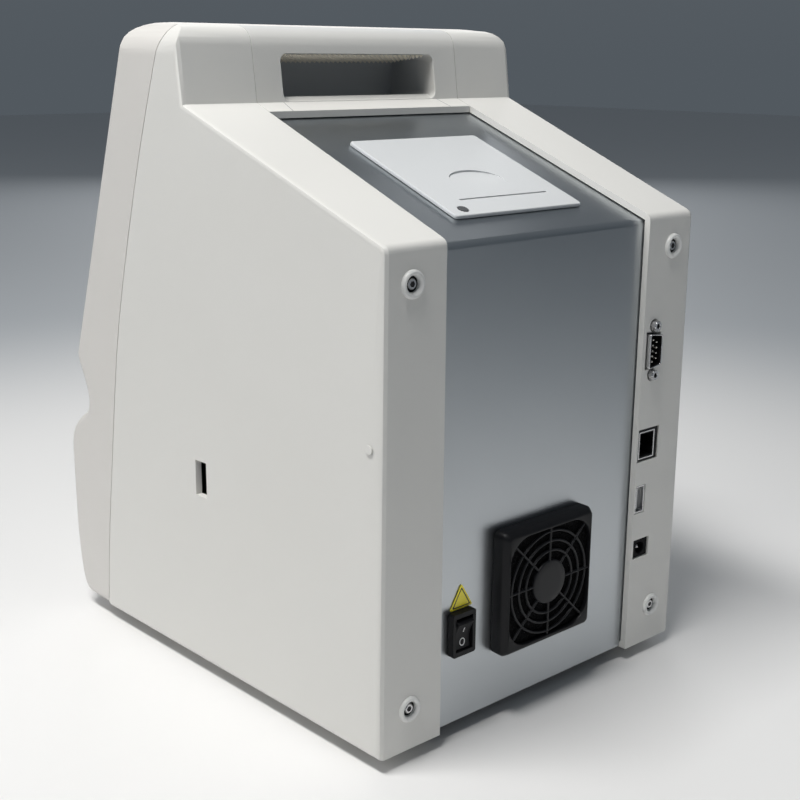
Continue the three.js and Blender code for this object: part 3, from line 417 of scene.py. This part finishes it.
def refined(node, width=0.0004, segments=2, angle=38, finish=None):
    """A finer version of a CAD node: its flats merged, its edges rounded, its curves shaded smooth."""
    same_point, same_flat = 2e-6, math.radians(0.6)
    bm = bmesh.new()
    bm.from_mesh(frame["nodes"][node].data)
    bmesh.ops.remove_doubles(bm, verts=bm.verts, dist=same_point)
    bmesh.ops.dissolve_limit(bm, angle_limit=same_flat, verts=bm.verts, edges=bm.edges)
    name = node + "_fine"
    mesh = mesh_from(bm, name, angle)
    piece = new_piece(name, mesh, finish or slot_of_node[node], body_of_node[node], node)
    return soften(piece, width, segments, angle)


def centre(node):
    low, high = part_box(node)
    return (low + high) / 2


def skin_loops(bm, loops, cap_first=False, cap_last=False, close=False):
    """Joins loops of equal length into one skin."""
    rings = [[bm.verts.new(point) for point in loop] for loop in loops]
    pairs = list(zip(rings, rings[1:]))
    if close:
        pairs.append((rings[-1], rings[0]))
    count = len(rings[0])
    for first, second in pairs:
        for i in range(count):
            j = (i + 1) % count
            bm.faces.new((first[i], first[j], second[j], second[i]))
    if cap_first:
        bm.faces.new(rings[0])
    if cap_last:
        bm.faces.new(rings[-1])


def circle(radius, y, steps, start=0.0):
    """Points round the Y axis."""
    turns = [start + i * math.tau / steps for i in range(steps)]
    return [Vector((radius * math.cos(t), y, radius * math.sin(t))) for t in turns]


def rounded_square(half_x, half_z, radius, y, steps=8):
    points = []
    for quarter, (side_x, side_z) in enumerate([(1, 1), (-1, 1), (-1, -1), (1, -1)]):
        for i in range(steps + 1):
            t = (quarter + i / steps) * math.pi / 2
            x = side_x * (half_x - radius) + radius * math.cos(t)
            z = side_z * (half_z - radius) + radius * math.sin(t)
            points.append(Vector((x, y, z)))
    return points


def hexagon(flat, y, steps):
    """Points round a hexagon `flat` from its middle to a side, as many as a circle of `steps`."""
    points = []
    for i in range(steps):
        t = i * math.tau / steps
        sector = (t % (math.pi / 3)) - math.pi / 6
        reach = flat / math.cos(sector)
        points.append(Vector((reach * math.cos(t), y, reach * math.sin(t))))
    return points


def rounded_corners(corners, radius, y, steps):
    """An outline in XZ whose corners are drawn as curves that start `radius` from each corner."""
    points = []
    for i, corner in enumerate(corners):
        before = (corners[i - 1] - corner).normalized()
        after = (corners[(i + 1) % len(corners)] - corner).normalized()
        first, last = corner + before * radius, corner + after * radius
        for k in range(steps + 1):
            t = k / steps
            point = (1 - t) ** 2 * first + 2 * t * (1 - t) * corner + t * t * last
            points.append(Vector((point.x, y, point.z)))
    return points


def turned(bm, profile, steps=48, closed=True):
    """A piece turned round the Y axis from (radius, y) points: a ring, or a solid with flat ends."""
    loops = [circle(radius, y, steps) for radius, y in profile]
    skin_loops(bm, loops, close=closed, cap_first=not closed, cap_last=not closed)


def block(bm, low, high):
    """A plain block, to be softened with the rest of its piece."""
    (x0, y0, z0), (x1, y1, z1) = low, high
    ends = [[Vector((x, y, z)) for x, y in ((x0, y0), (x1, y0), (x1, y1), (x0, y1))] for z in (z0, z1)]
    skin_loops(bm, ends, cap_first=True, cap_last=True)


def shift(bm, start, offset):
    """Moves what was made since `start` vertices were there."""
    bm.verts.ensure_lookup_table()
    for vertex in bm.verts[start:]:
        vertex.co += offset


# ---------------------------------------------------------------- housings and other refined nodes
# How wide the edges of each refined node are rounded, in metres.
EDGES = {
    "right_shell": 0.0006,
    "left_shell": 0.0006,
    "front_cover": 0.0006,
    "rear_panel": 0.0002,
    "printer_door": 0.0003,
    "head_shroud": 0.0005,
    "stage_shroud": 0.0005,
    "lens_table": 0.0006,
    "pd_slider": 0.0006,
    "nosepiece": 0.0003,
    "switch_housing": 0.0005,
    "switch_rocker": 0.0005,
    "read_button": 0.0006,
    "touch_glass": 0.0003,
    "side_plug": 0.0002,
    "marker_pens": 0.0002,
    "lens_press": 0.0003,
    "base_plate": 0.0002,
    "printer_tray": 0.0003,
    "print_head": 0.0003,
    "fan_rotor": 0.0002,
}
for node, width in EDGES.items():
    refined(node, width)
# the handle insert carries the painted shade inside its finger pocket
refined("handle_insert", 0.0008, 3, finish="pocket_shell_painted_shade")
refined("side_usb_port", 0.0002)
refined("feed_button", 0.0002, finish="button_grey")
for index in range(1, 5):
    refined(f"foot_{index}", 0.0004)


# ---------------------------------------------------------------- handle pocket
def pocket_grip():
    """Diamond relief on the sloping ceiling of the finger pocket."""
    low, high = opening_box("handle_pocket")
    pitch = 3.1 * MM
    back, front = low[1] + 1.5 * MM, low[1] + 31 * MM
    fall = 4.0 * MM / (32 * MM)
    top_at_back = high[2] + 0.75 * MM
    rim_depth, peak_depth = 0.1 * MM, 1.3 * MM
    columns = int((high[0] - low[0] - 2 * MM) / pitch)
    rows = int((front - back) / pitch)
    left = (low[0] + high[0] - columns * pitch) / 2
    half = pitch / 2 * 0.92

    def ceiling(y):
        return top_at_back + (y - low[1]) * fall

    bm = bmesh.new()
    for i in range(columns):
        for j in range(rows):
            x, y = left + (i + 0.5) * pitch, back + (j + 0.5) * pitch
            rim = [(x - half, y), (x, y - half), (x + half, y), (x, y + half)]
            ring = [bm.verts.new((px, py, ceiling(py) - rim_depth)) for px, py in rim]
            peak = bm.verts.new((x, y, ceiling(y) - peak_depth))
            base = bm.verts.new((x, y, ceiling(y) + rim_depth))
            for k in range(4):
                bm.faces.new((ring[k], ring[(k + 1) % 4], peak))
                bm.faces.new((ring[(k + 1) % 4], ring[k], base))
    name = "handle_grip_relief"
    new_piece(name, mesh_from(bm, name, 20), "grip_beige", "chassis", slot="shell")


def ledge_seam_shade_lines():
    """Thin grey lines on the ledge below the two ends of the finger pocket: painted shade of the seams
    there.
    """
    low, high = opening_box("handle_pocket")
    half, tall, sides = 0.16 * MM, 0.06 * MM, 8
    foot = Vector((0, SHELL_BACK, BEND_HEIGHT))
    head = Vector((0, low[1] + 36.5 * MM, BEND_HEIGHT))
    head.z = foot.z + (foot.y - head.y) * SLOPE_RISE
    run = (head - foot).normalized()
    out = Vector((0, -run.z, run.y)) * -1
    section = [Vector((half * math.cos(k * math.tau / sides), 0, 0))
               + out * tall * math.sin(k * math.tau / sides) for k in range(sides)]
    bm = bmesh.new()
    for side in (-1, 1):
        ends = []
        for distance, flare in ((0, 1.0 * MM), (10.5 * MM, 2.4 * MM)):
            spot = head - run * distance + Vector((side * (high[0] + flare), 0, 0))
            ends.append([spot + point for point in section])
        skin_loops(bm, ends, cap_first=True, cap_last=True)
    # painted shade: grey strips stand in for the shadow in the seams
    new_piece("ledge_seam_shade_lines", mesh_from(bm, "ledge_seam_shade_lines", 60), "grey_plastic", "chassis", slot="shell")


ledge_seam_shade_lines()
pocket_grip()


# ---------------------------------------------------------------- inside of the printer
def along_x(name, node, profile, finish, steps=72, replaced=True, slot=None):
    """A piece turned round the X axis through a node's centre, from (radius, x) points in millimetres."""
    bm = bmesh.new()
    turned(bm, [(radius * MM, x * MM) for radius, x in profile], steps)
    for vertex in bm.verts:
        vertex.co = Vector((vertex.co.y, vertex.co.x, vertex.co.z))
    shift(bm, 0, centre(node))
    nodes = [node] if replaced else []
    new_piece(name, mesh_from(bm, name, 40), finish, body_of_node[node], *nodes, slot=slot)


def tube_profile(inner, outer, half, across, along):
    """(radius, x) points of a tube whose outer edges are cut by `across` radially and `along` its axis."""
    return [
        (inner, -half), (outer - across, -half), (outer, along - half),
        (outer, half - along), (outer - across, half), (inner, half),
    ]


def printer_inside():
    """The paper on its cardboard core, and the platen's rubber sleeve on its steel shaft."""
    gap = 0.02
    half, radius, core = 28.5, 18.5, 6.5
    winding = tube_profile(core, radius, half, 0.25, 0.25)
    along_x("paper_winding", "paper_roll", winding, "paper", 96)
    card = [(core - 1, -half), (core - gap, -half), (core - gap, half), (core - 1, half)]
    along_x("paper_core", "paper_roll", card, "cardboard", replaced=False, slot="paper")

    sleeve_half, sleeve_radius, shaft_half, shaft_radius = 28.8, 4.0, 33.5, 1.3
    sleeve = tube_profile(shaft_radius, sleeve_radius, sleeve_half, 0.3, 0.3)
    along_x("platen_sleeve", "platen_roller", sleeve, "rubber")
    shaft = tube_profile(0.05, shaft_radius - gap, shaft_half, 0.18, 0.2)
    along_x("platen_shaft", "platen_roller", shaft, "chrome", 32, replaced=False, slot="chrome")


printer_inside()


# ---------------------------------------------------------------- finishing cups and screws
def screw_cup(index):
    """A finishing cup: a domed rim round a hollow with a hole for the screw."""
    node = f"screw_cup_{index}"
    low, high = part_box(node)
    middle = (low + high) / 2
    radius = (high.x - low.x) / 2
    bore, neck, inner, ridge = 2.2 * MM, 4.4 * MM, 3.5 * MM, 4.9 * MM
    crown, floor, back = 1.75 * MM, -1.9 * MM, -2.7 * MM
    profile = [(bore, back), (neck, back), (neck, 0.15 * MM), (radius, 0.1 * MM)]
    for i in range(9):
        t = i / 8 * math.pi / 2
        profile.append((radius - (radius - ridge) * (1 - math.cos(t)), crown * math.sin(t)))
    for i in range(1, 6):
        t = i / 5
        profile.append((ridge - (ridge - inner) * t, crown - 1.5 * MM * t * t))
    profile += [(inner, floor), (bore, floor)]
    bm = bmesh.new()
    turned(bm, profile, 56)
    shift(bm, 0, Vector((middle.x, SHELL_BACK, middle.z)))
    new_piece(node + "_fine", mesh_from(bm, node + "_fine", 50), "cover_white", body_of_node[node], node)


def shell_screw(index):
    """A socket head screw, with painted shade: black fills in the hollow of its socket and on the floor of
    the cup round it.
    """
    node = f"shell_screw_{index}"
    middle = centre(node)
    place = Vector((middle.x, SHELL_BACK, middle.z))
    steps = 36
    shank, head, flat = 1.7 * MM, 2.3 * MM, 1.2 * MM
    loops = [
        circle(shank, -12 * MM, steps),
        circle(shank, -1.5 * MM, steps),
        circle(head, -1.5 * MM, steps),
        circle(head, -0.35 * MM, steps),
        circle(head - 0.3 * MM, 0, steps),
        hexagon(flat, 0, steps),
        hexagon(flat, -1.3 * MM, steps),
    ]
    bm = bmesh.new()
    skin_loops(bm, loops, cap_first=True, cap_last=True)
    shift(bm, 0, place)
    new_piece(node + "_fine", mesh_from(bm, node + "_fine", 30), "chrome", body_of_node[node], node)

    # painted shade: a black disc down in the hex socket and a black ring on the cup's floor, in the rubber
    # finish, stand in for the shade in those hollows
    hex_shade_radius = flat - 0.01 * MM
    wide, wall, floor = 3.45 * MM, 3.3 * MM, -1.88 * MM
    socket = bmesh.new()
    turned(socket, [(hex_shade_radius, -1.2 * MM), (hex_shade_radius, -0.3 * MM), (0.6 * MM, -0.25 * MM)], 24, closed=False)
    turned(socket, [(1.8 * MM, floor), (wide, floor), (wide, -0.9 * MM), (wall, -0.9 * MM),
                    (wall, -1.6 * MM), (1.8 * MM, -1.6 * MM)], 48)
    shift(socket, 0, place)
    name = node + "_socket"
    new_piece(name, mesh_from(socket, name), "rubber", body_of_node[node], slot="rubber")


for index in range(1, 5):
    screw_cup(index)
    shell_screw(index)


# ---------------------------------------------------------------- fan guard
GUARD_WINDOW, GUARD_CORNER = 27.6 * MM, 13 * MM


def guard_surround(low, high):
    """The guard's housing: [inset, y, corner radius] outside, then the window and the hollow behind."""
    half_x, half_z = (high.x - low.x) / 2, (high.z - low.z) / 2
    front, back = high.y, low.y
    wall, face = 1.6 * MM, 2.4 * MM
    outside = [
        (0, back, 3.5), (0, front - 3.4 * MM, 3.5), (0.35, front - 2.6 * MM, 3.4),
        (1.7, front - 0.55 * MM, 2.6), (2.3, front - 0.12 * MM, 2.4), (2.9, front, 2.2),
    ]
    inside = [(0.5, front), (0.12, front - 0.12 * MM), (0, front - 0.5 * MM), (0, front - face)]
    loops = []
    for inset, y, radius in outside:
        loops.append(rounded_square(half_x - inset * MM, half_z - inset * MM, radius * MM, y))
    for grow, y in inside:
        reach = GUARD_WINDOW + grow * MM
        loops.append(rounded_square(reach, reach, GUARD_CORNER, y))
    for y in (front - face, back):
        loops.append(rounded_square(half_x - wall, half_z - wall, 2 * MM, y))
    bm = bmesh.new()
    skin_loops(bm, loops, close=True)
    return bm


def guard_grille(wire_y):
    """Concentric round wires, eight spokes and the hub, round the Y axis."""
    bm = bmesh.new()
    for radius in (15.8 * MM, 20.6 * MM, 25.6 * MM):
        thick, deep = 0.68 * MM, 0.75 * MM
        section = [(radius + thick * math.cos(t), wire_y + deep * math.sin(t))
                   for t in (k * math.tau / 12 for k in range(12))]
        turned(bm, section, 96)
    spokes, sides, bite = 8, 10, 0.6 * MM
    straight = GUARD_WINDOW + bite
    diagonal = (GUARD_WINDOW - GUARD_CORNER) * math.sqrt(2) + GUARD_CORNER + bite
    for i in range(spokes):
        t = i * math.tau / spokes
        along, across = Vector((math.cos(t), 0, math.sin(t))), Vector((-math.sin(t), 0, math.cos(t)))
        section = [across * 0.62 * MM * math.cos(k * math.tau / sides)
                   + Vector((0, wire_y + 0.85 * MM * math.sin(k * math.tau / sides), 0))
                   for k in range(sides)]
        ends = [[along * distance + point for point in section]
                for distance in (10 * MM, diagonal if i % 2 else straight)]
        skin_loops(bm, ends, cap_first=True, cap_last=True)
    hub = [(11, -0.9), (11, 0.35), (10.75, 0.75), (10.2, 0.92), (7, 1.0), (2, 1.02)]
    turned(bm, [(radius * MM, wire_y + y * MM) for radius, y in hub], 72, closed=False)
    return bm


def fan_guard():
    """The guard's housing and its grille, round the middle of the CAD cover."""
    low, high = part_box("fan_guard_cover")
    middle = (low + high) / 2
    place = Vector((middle.x, 0, middle.z))
    for name, bm, angle, finish in (
        ("fan_guard_surround", guard_surround(low, high), 40, "black_plastic"),
        ("fan_guard_grille", guard_grille(high.y - 1.35 * MM), 50, "grille_black"),
    ):
        shift(bm, 0, place)
        body = body_of_node["fan_guard_cover"]
        new_piece(name, mesh_from(bm, name, angle), finish, body, "fan_guard_cover")


fan_guard()


# ---------------------------------------------------------------- switch marks and hazard triangle
def rocker_marks():
    """The circle and the stroke that a mains rocker carries, laid on its curved face."""
    joint = next(row for row in frame["record"]["behaviour"]["joints"] if row["name"] == "switch_rock")
    pivot = Vector(joint["pos_m"])
    tilt = Matrix.Rotation(math.radians(-12), 3, "X")    # as the CAD's rocker stands at rest
    half_face, end_height, middle_height = 7.3 * MM, 4.6 * MM, 1.2 * MM
    thick = 0.14 * MM

    def on_face(x, z, lift):
        """A point above the rocker's face, which dips between its ends."""
        t = (z + half_face) / (2 * half_face)
        y = ((1 - t) ** 2 + t * t) * end_height + 2 * t * (1 - t) * middle_height + lift
        return pivot + tilt @ Vector((x, y, z))

    bm = bmesh.new()
    ring_z, steps = -3.9 * MM, 40
    inner, outer, narrow, tall = 1.3 * MM, 1.75 * MM, 0.95, 1.1
    loops = []
    for radius, lift in ((inner, 0), (inner, thick), (outer, thick), (outer, 0)):
        turns = [i * math.tau / steps for i in range(steps)]
        loops.append([on_face(radius * math.cos(t) * narrow, ring_z + radius * math.sin(t) * tall, lift)
                      for t in turns])
    skin_loops(bm, loops, close=True)
    half = 0.22 * MM
    stroke = [[on_face(x, z, lift) for x, lift in ((-half, 0), (half, 0), (half, thick), (-half, thick))]
              for z in (1.3 * MM, 2.6 * MM, 3.9 * MM)]
    skin_loops(bm, stroke, cap_first=True, cap_last=True)
    name = "switch_rocker_marks"
    new_piece(name, mesh_from(bm, name), "mark_white", "switch_rocker", slot="black_plastic")


def hazard_triangle():
    """A yellow film with a black border, and no symbol."""
    low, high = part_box("warning_sticker")
    tip = Vector(((low.x + high.x) / 2, 0, high.z))
    corners = [Vector((low.x, 0, low.z)), Vector((high.x, 0, low.z)), tip]
    middle = sum(corners, Vector()) / 3

    def triangle(inset, radius, y):
        """A triangle with round corners, `inset` of the way from the sticker's edge to its middle."""
        scaled = [middle + (corner - middle) * (1 - inset) for corner in corners]
        return rounded_corners(scaled, radius, y, 6)

    loops = [
        triangle(0, 1.4 * MM, low.y),
        triangle(0, 1.4 * MM, high.y - 0.05 * MM),
        triangle(0.02, 1.3 * MM, high.y),
    ]
    film = bmesh.new()
    skin_loops(film, loops, cap_first=True, cap_last=True)
    name = "sticker_film"
    new_piece(name, mesh_from(film, name, 25), "sticker_yellow", "chassis", "warning_sticker")

    under, over = high.y - 0.03 * MM, high.y + 0.03 * MM
    loops = [
        triangle(0.2, 0.9 * MM, under),
        triangle(0.2, 0.9 * MM, over),
        triangle(0.33, 0.7 * MM, over),
        triangle(0.33, 0.7 * MM, under),
    ]
    border = bmesh.new()
    skin_loops(border, loops, close=True)
    name = "sticker_border"
    new_piece(name, mesh_from(border, name, 25), "mark_black", "chassis", slot="sticker_yellow")


rocker_marks()
hazard_triangle()


# ---------------------------------------------------------------- sockets on the back strip
def d_shape(grow, y):
    """The serial connector's D with rounded corners, `grow` millimetres larger all round."""
    wide, half, slant, radius = 5.2 + grow, 9.3 + grow, 1.2, 0.9
    corners = [(-wide, slant - half), (wide, -half), (wide, half), (-wide, half - slant)]
    return rounded_corners([Vector((x * MM, 0, z * MM)) for x, z in corners], radius * MM, y, 5)


def serial_rim(front, place):
    """The connector's thin metal D."""
    edge, back = front - 0.3 * MM, front - 8 * MM
    loops = [
        d_shape(-0.4, back),
        d_shape(-0.4, edge),
        d_shape(-0.55, front),
        d_shape(-0.9, front),
        d_shape(-1.05, edge),
        d_shape(-1.05, back),
    ]
    rim = bmesh.new()
    skin_loops(rim, loops, close=True)
    shift(rim, 0, place)
    piece = new_piece("serial_rim", mesh_from(rim, "serial_rim", 40), "chrome", "chassis", "serial_port")
    soften(piece, 0.00015)


def serial_insert(front, place):
    """The black insert behind the pins, its lining inside the D, and the flange behind the strip, painted
    black as shade in the gap round the opening.
    """
    insert = bmesh.new()
    body = [d_shape(-1.0, front - 9 * MM), d_shape(-1.0, front - 5.2 * MM)]
    skin_loops(insert, body, cap_first=True, cap_last=True)
    near, deep = front - 0.7 * MM, front - 5.3 * MM
    lining = [d_shape(-1.02, deep), d_shape(-1.02, near), d_shape(-1.35, near), d_shape(-1.35, deep)]
    skin_loops(insert, lining, close=True)
    # painted shade: the flange behind the strip is black to stand in for the shade in the gap round the
    # connector's opening
    half_x, half_z = 6.2 * MM, 15.4 * MM
    block(insert, (-half_x, SHELL_BACK - 6.4 * MM, -half_z), (half_x, SHELL_BACK - 5.3 * MM, half_z))
    shift(insert, 0, place)
    mesh = mesh_from(insert, "serial_insert", 40)
    new_piece("serial_insert", mesh, "socket_black", "chassis", "serial_port", slot="black_plastic")


def serial_pins(front, place):
    """Nine pins in rows of five and four."""
    pitch, row_offset = 2.77 * MM, 1.42 * MM
    profile = [
        (0.5 * MM, front - 6 * MM),
        (0.5 * MM, front - 1.3 * MM),
        (0.38 * MM, front - 1.0 * MM),
        (0.18 * MM, front - 0.9 * MM),
    ]
    pins = bmesh.new()
    for x, count in ((row_offset, 5), (-row_offset, 4)):
        for i in range(count):
            start = len(pins.verts)
            turned(pins, profile, 16, closed=False)
            shift(pins, start, place + Vector((x, 0, (i - (count - 1) / 2) * pitch)))
    name = "serial_pins"
    new_piece(name, mesh_from(pins, name, 50), "pin_metal", "chassis", "serial_port", slot="chrome")


def serial_jackscrews(front, place):
    """A hexagonal jackscrew with a threaded hole's mouth at each end of the D."""
    steps, spacing = 36, 25 * MM
    flat = 2.75 * MM * math.cos(math.pi / 6)
    top, bore = front + 0.5 * MM, 1.2 * MM
    loops = [
        hexagon(flat, front - 7 * MM, steps),
        hexagon(flat, front, steps),
        circle(2.25 * MM, top, steps),
        circle(1.35 * MM, top, steps),
        circle(bore, top - 0.25 * MM, steps),
        circle(bore, top - 4 * MM, steps),
    ]
    screws = bmesh.new()
    for side in (-1, 1):
        start = len(screws.verts)
        skin_loops(screws, loops, cap_first=True, cap_last=True)
        shift(screws, start, place + Vector((0, 0, side * spacing / 2)))
    name = "serial_jackscrews"
    new_piece(name, mesh_from(screws, name, 30), "chrome", "chassis", "serial_port")


def serial_socket():
    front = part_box("serial_port")[1].y
    middle = centre("serial_port")
    place = Vector((middle.x, 0, middle.z))
    serial_rim(front, place)
    serial_insert(front, place)
    serial_pins(front, place)
    serial_jackscrews(front, place)


def shield(name, low, high, y0, y1, *nodes):
    """A rectangular plated shield, open at both ends, between two (x, z) corners and two depths."""
    wall, outer_radius, inner_radius, steps = 0.7 * MM, 0.4 * MM, 0.3 * MM, 3
    half_x, half_z = (high[0] - low[0]) / 2, (high[1] - low[1]) / 2
    loops = [
        rounded_square(half_x, half_z, outer_radius, y0, steps),
        rounded_square(half_x, half_z, outer_radius, y1, steps),
        rounded_square(half_x - wall, half_z - wall, inner_radius, y1, steps),
        rounded_square(half_x - wall, half_z - wall, inner_radius, y0, steps),
    ]
    bm = bmesh.new()
    skin_loops(bm, loops, close=True)
    shift(bm, 0, Vector(((low[0] + high[0]) / 2, 0, (low[1] + high[1]) / 2)))
    piece = new_piece(name, mesh_from(bm, name, 40), "chrome", "chassis", *nodes, slot="chrome")
    soften(piece, 0.00012)


def network_socket():
    refined("ethernet_port", 0.0002)
    low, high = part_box("ethernet_port")
    corner, other = (low.x + 2.6 * MM, low.z + 1.0 * MM), (high.x - 0.5 * MM, high.z - 1.0 * MM)
    shield("network_shield", corner, other, high.y - 6 * MM, high.y + 0.35 * MM)


def usb_socket():
    """The shell of the data socket, and the white tongue on its back block."""
    low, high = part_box("usb_port")
    front, back = high.y, high.y - 16 * MM
    shield("usb_shell", (low.x, low.z), (high.x, high.z), back, front + 0.1 * MM, "usb_port")
    middle = (low.x + high.x) / 2
    side, end = 0.6 * MM, 1.9 * MM
    tongue = bmesh.new()
    block(tongue, (middle + 0.3 * MM, front - 15 * MM, low.z + end),
          (middle + 2.2 * MM, front - 1.0 * MM, high.z - end))
    block(tongue, (low.x + side, back, low.z + side), (high.x - side, front - 4 * MM, high.z - side))
    name = "usb_tongue"
    piece = new_piece(name, mesh_from(tongue, name), "white_insert", "chassis", "usb_port", slot="cover")
    soften(piece, 0.0002)


def power_socket():
    """A square body with a round bore, and the pin inside."""
    low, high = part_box("dc_jack")
    middle = (low + high) / 2
    place = Vector((middle.x, 0, middle.z))
    front = high.y
    bore, edge, per_corner = 3.2 * MM, 0.3 * MM, 11
    half_x, half_z = (high.x - low.x) / 2, (high.z - low.z) / 2
    back_outline = rounded_square(half_x, half_z, 0.5 * MM, front - 16 * MM, per_corner)
    steps = len(back_outline)
    start = math.pi / 4 / per_corner    # lines the bore's points up with the outline's
    loops = [
        back_outline,
        rounded_square(half_x, half_z, 0.5 * MM, front - edge, per_corner),
        rounded_square(half_x - edge, half_z - edge, 0.4 * MM, front, per_corner),
        circle(bore + edge, front, steps, start),
        circle(bore, front - edge, steps, start),
        circle(bore, front - 10 * MM, steps, start),
    ]
    bm = bmesh.new()
    skin_loops(bm, loops, cap_first=True, cap_last=True)
    shift(bm, 0, place)
    new_piece("power_body", mesh_from(bm, "power_body", 40), "socket_black", "chassis", "dc_jack")

    profile = [
        (1.0 * MM, front - 10 * MM),
        (1.0 * MM, front - 1.9 * MM),
        (0.75 * MM, front - 1.5 * MM),
        (0.3 * MM, front - 1.35 * MM),
    ]
    pin = bmesh.new()
    turned(pin, profile, 24, closed=False)
    shift(pin, 0, place)
    new_piece("power_pin", mesh_from(pin, "power_pin", 50), "chrome", "chassis", "dc_jack", slot="chrome")


serial_socket()
network_socket()
usb_socket()
power_socket()


# ---------------------------------------------------------------- CAD nodes that are still shown
for node, part in frame["nodes"].items():
    if not part.hide_render:
        part.data.materials.clear()
        part.data.materials.append(FINISHES[slot_of_node[node]])
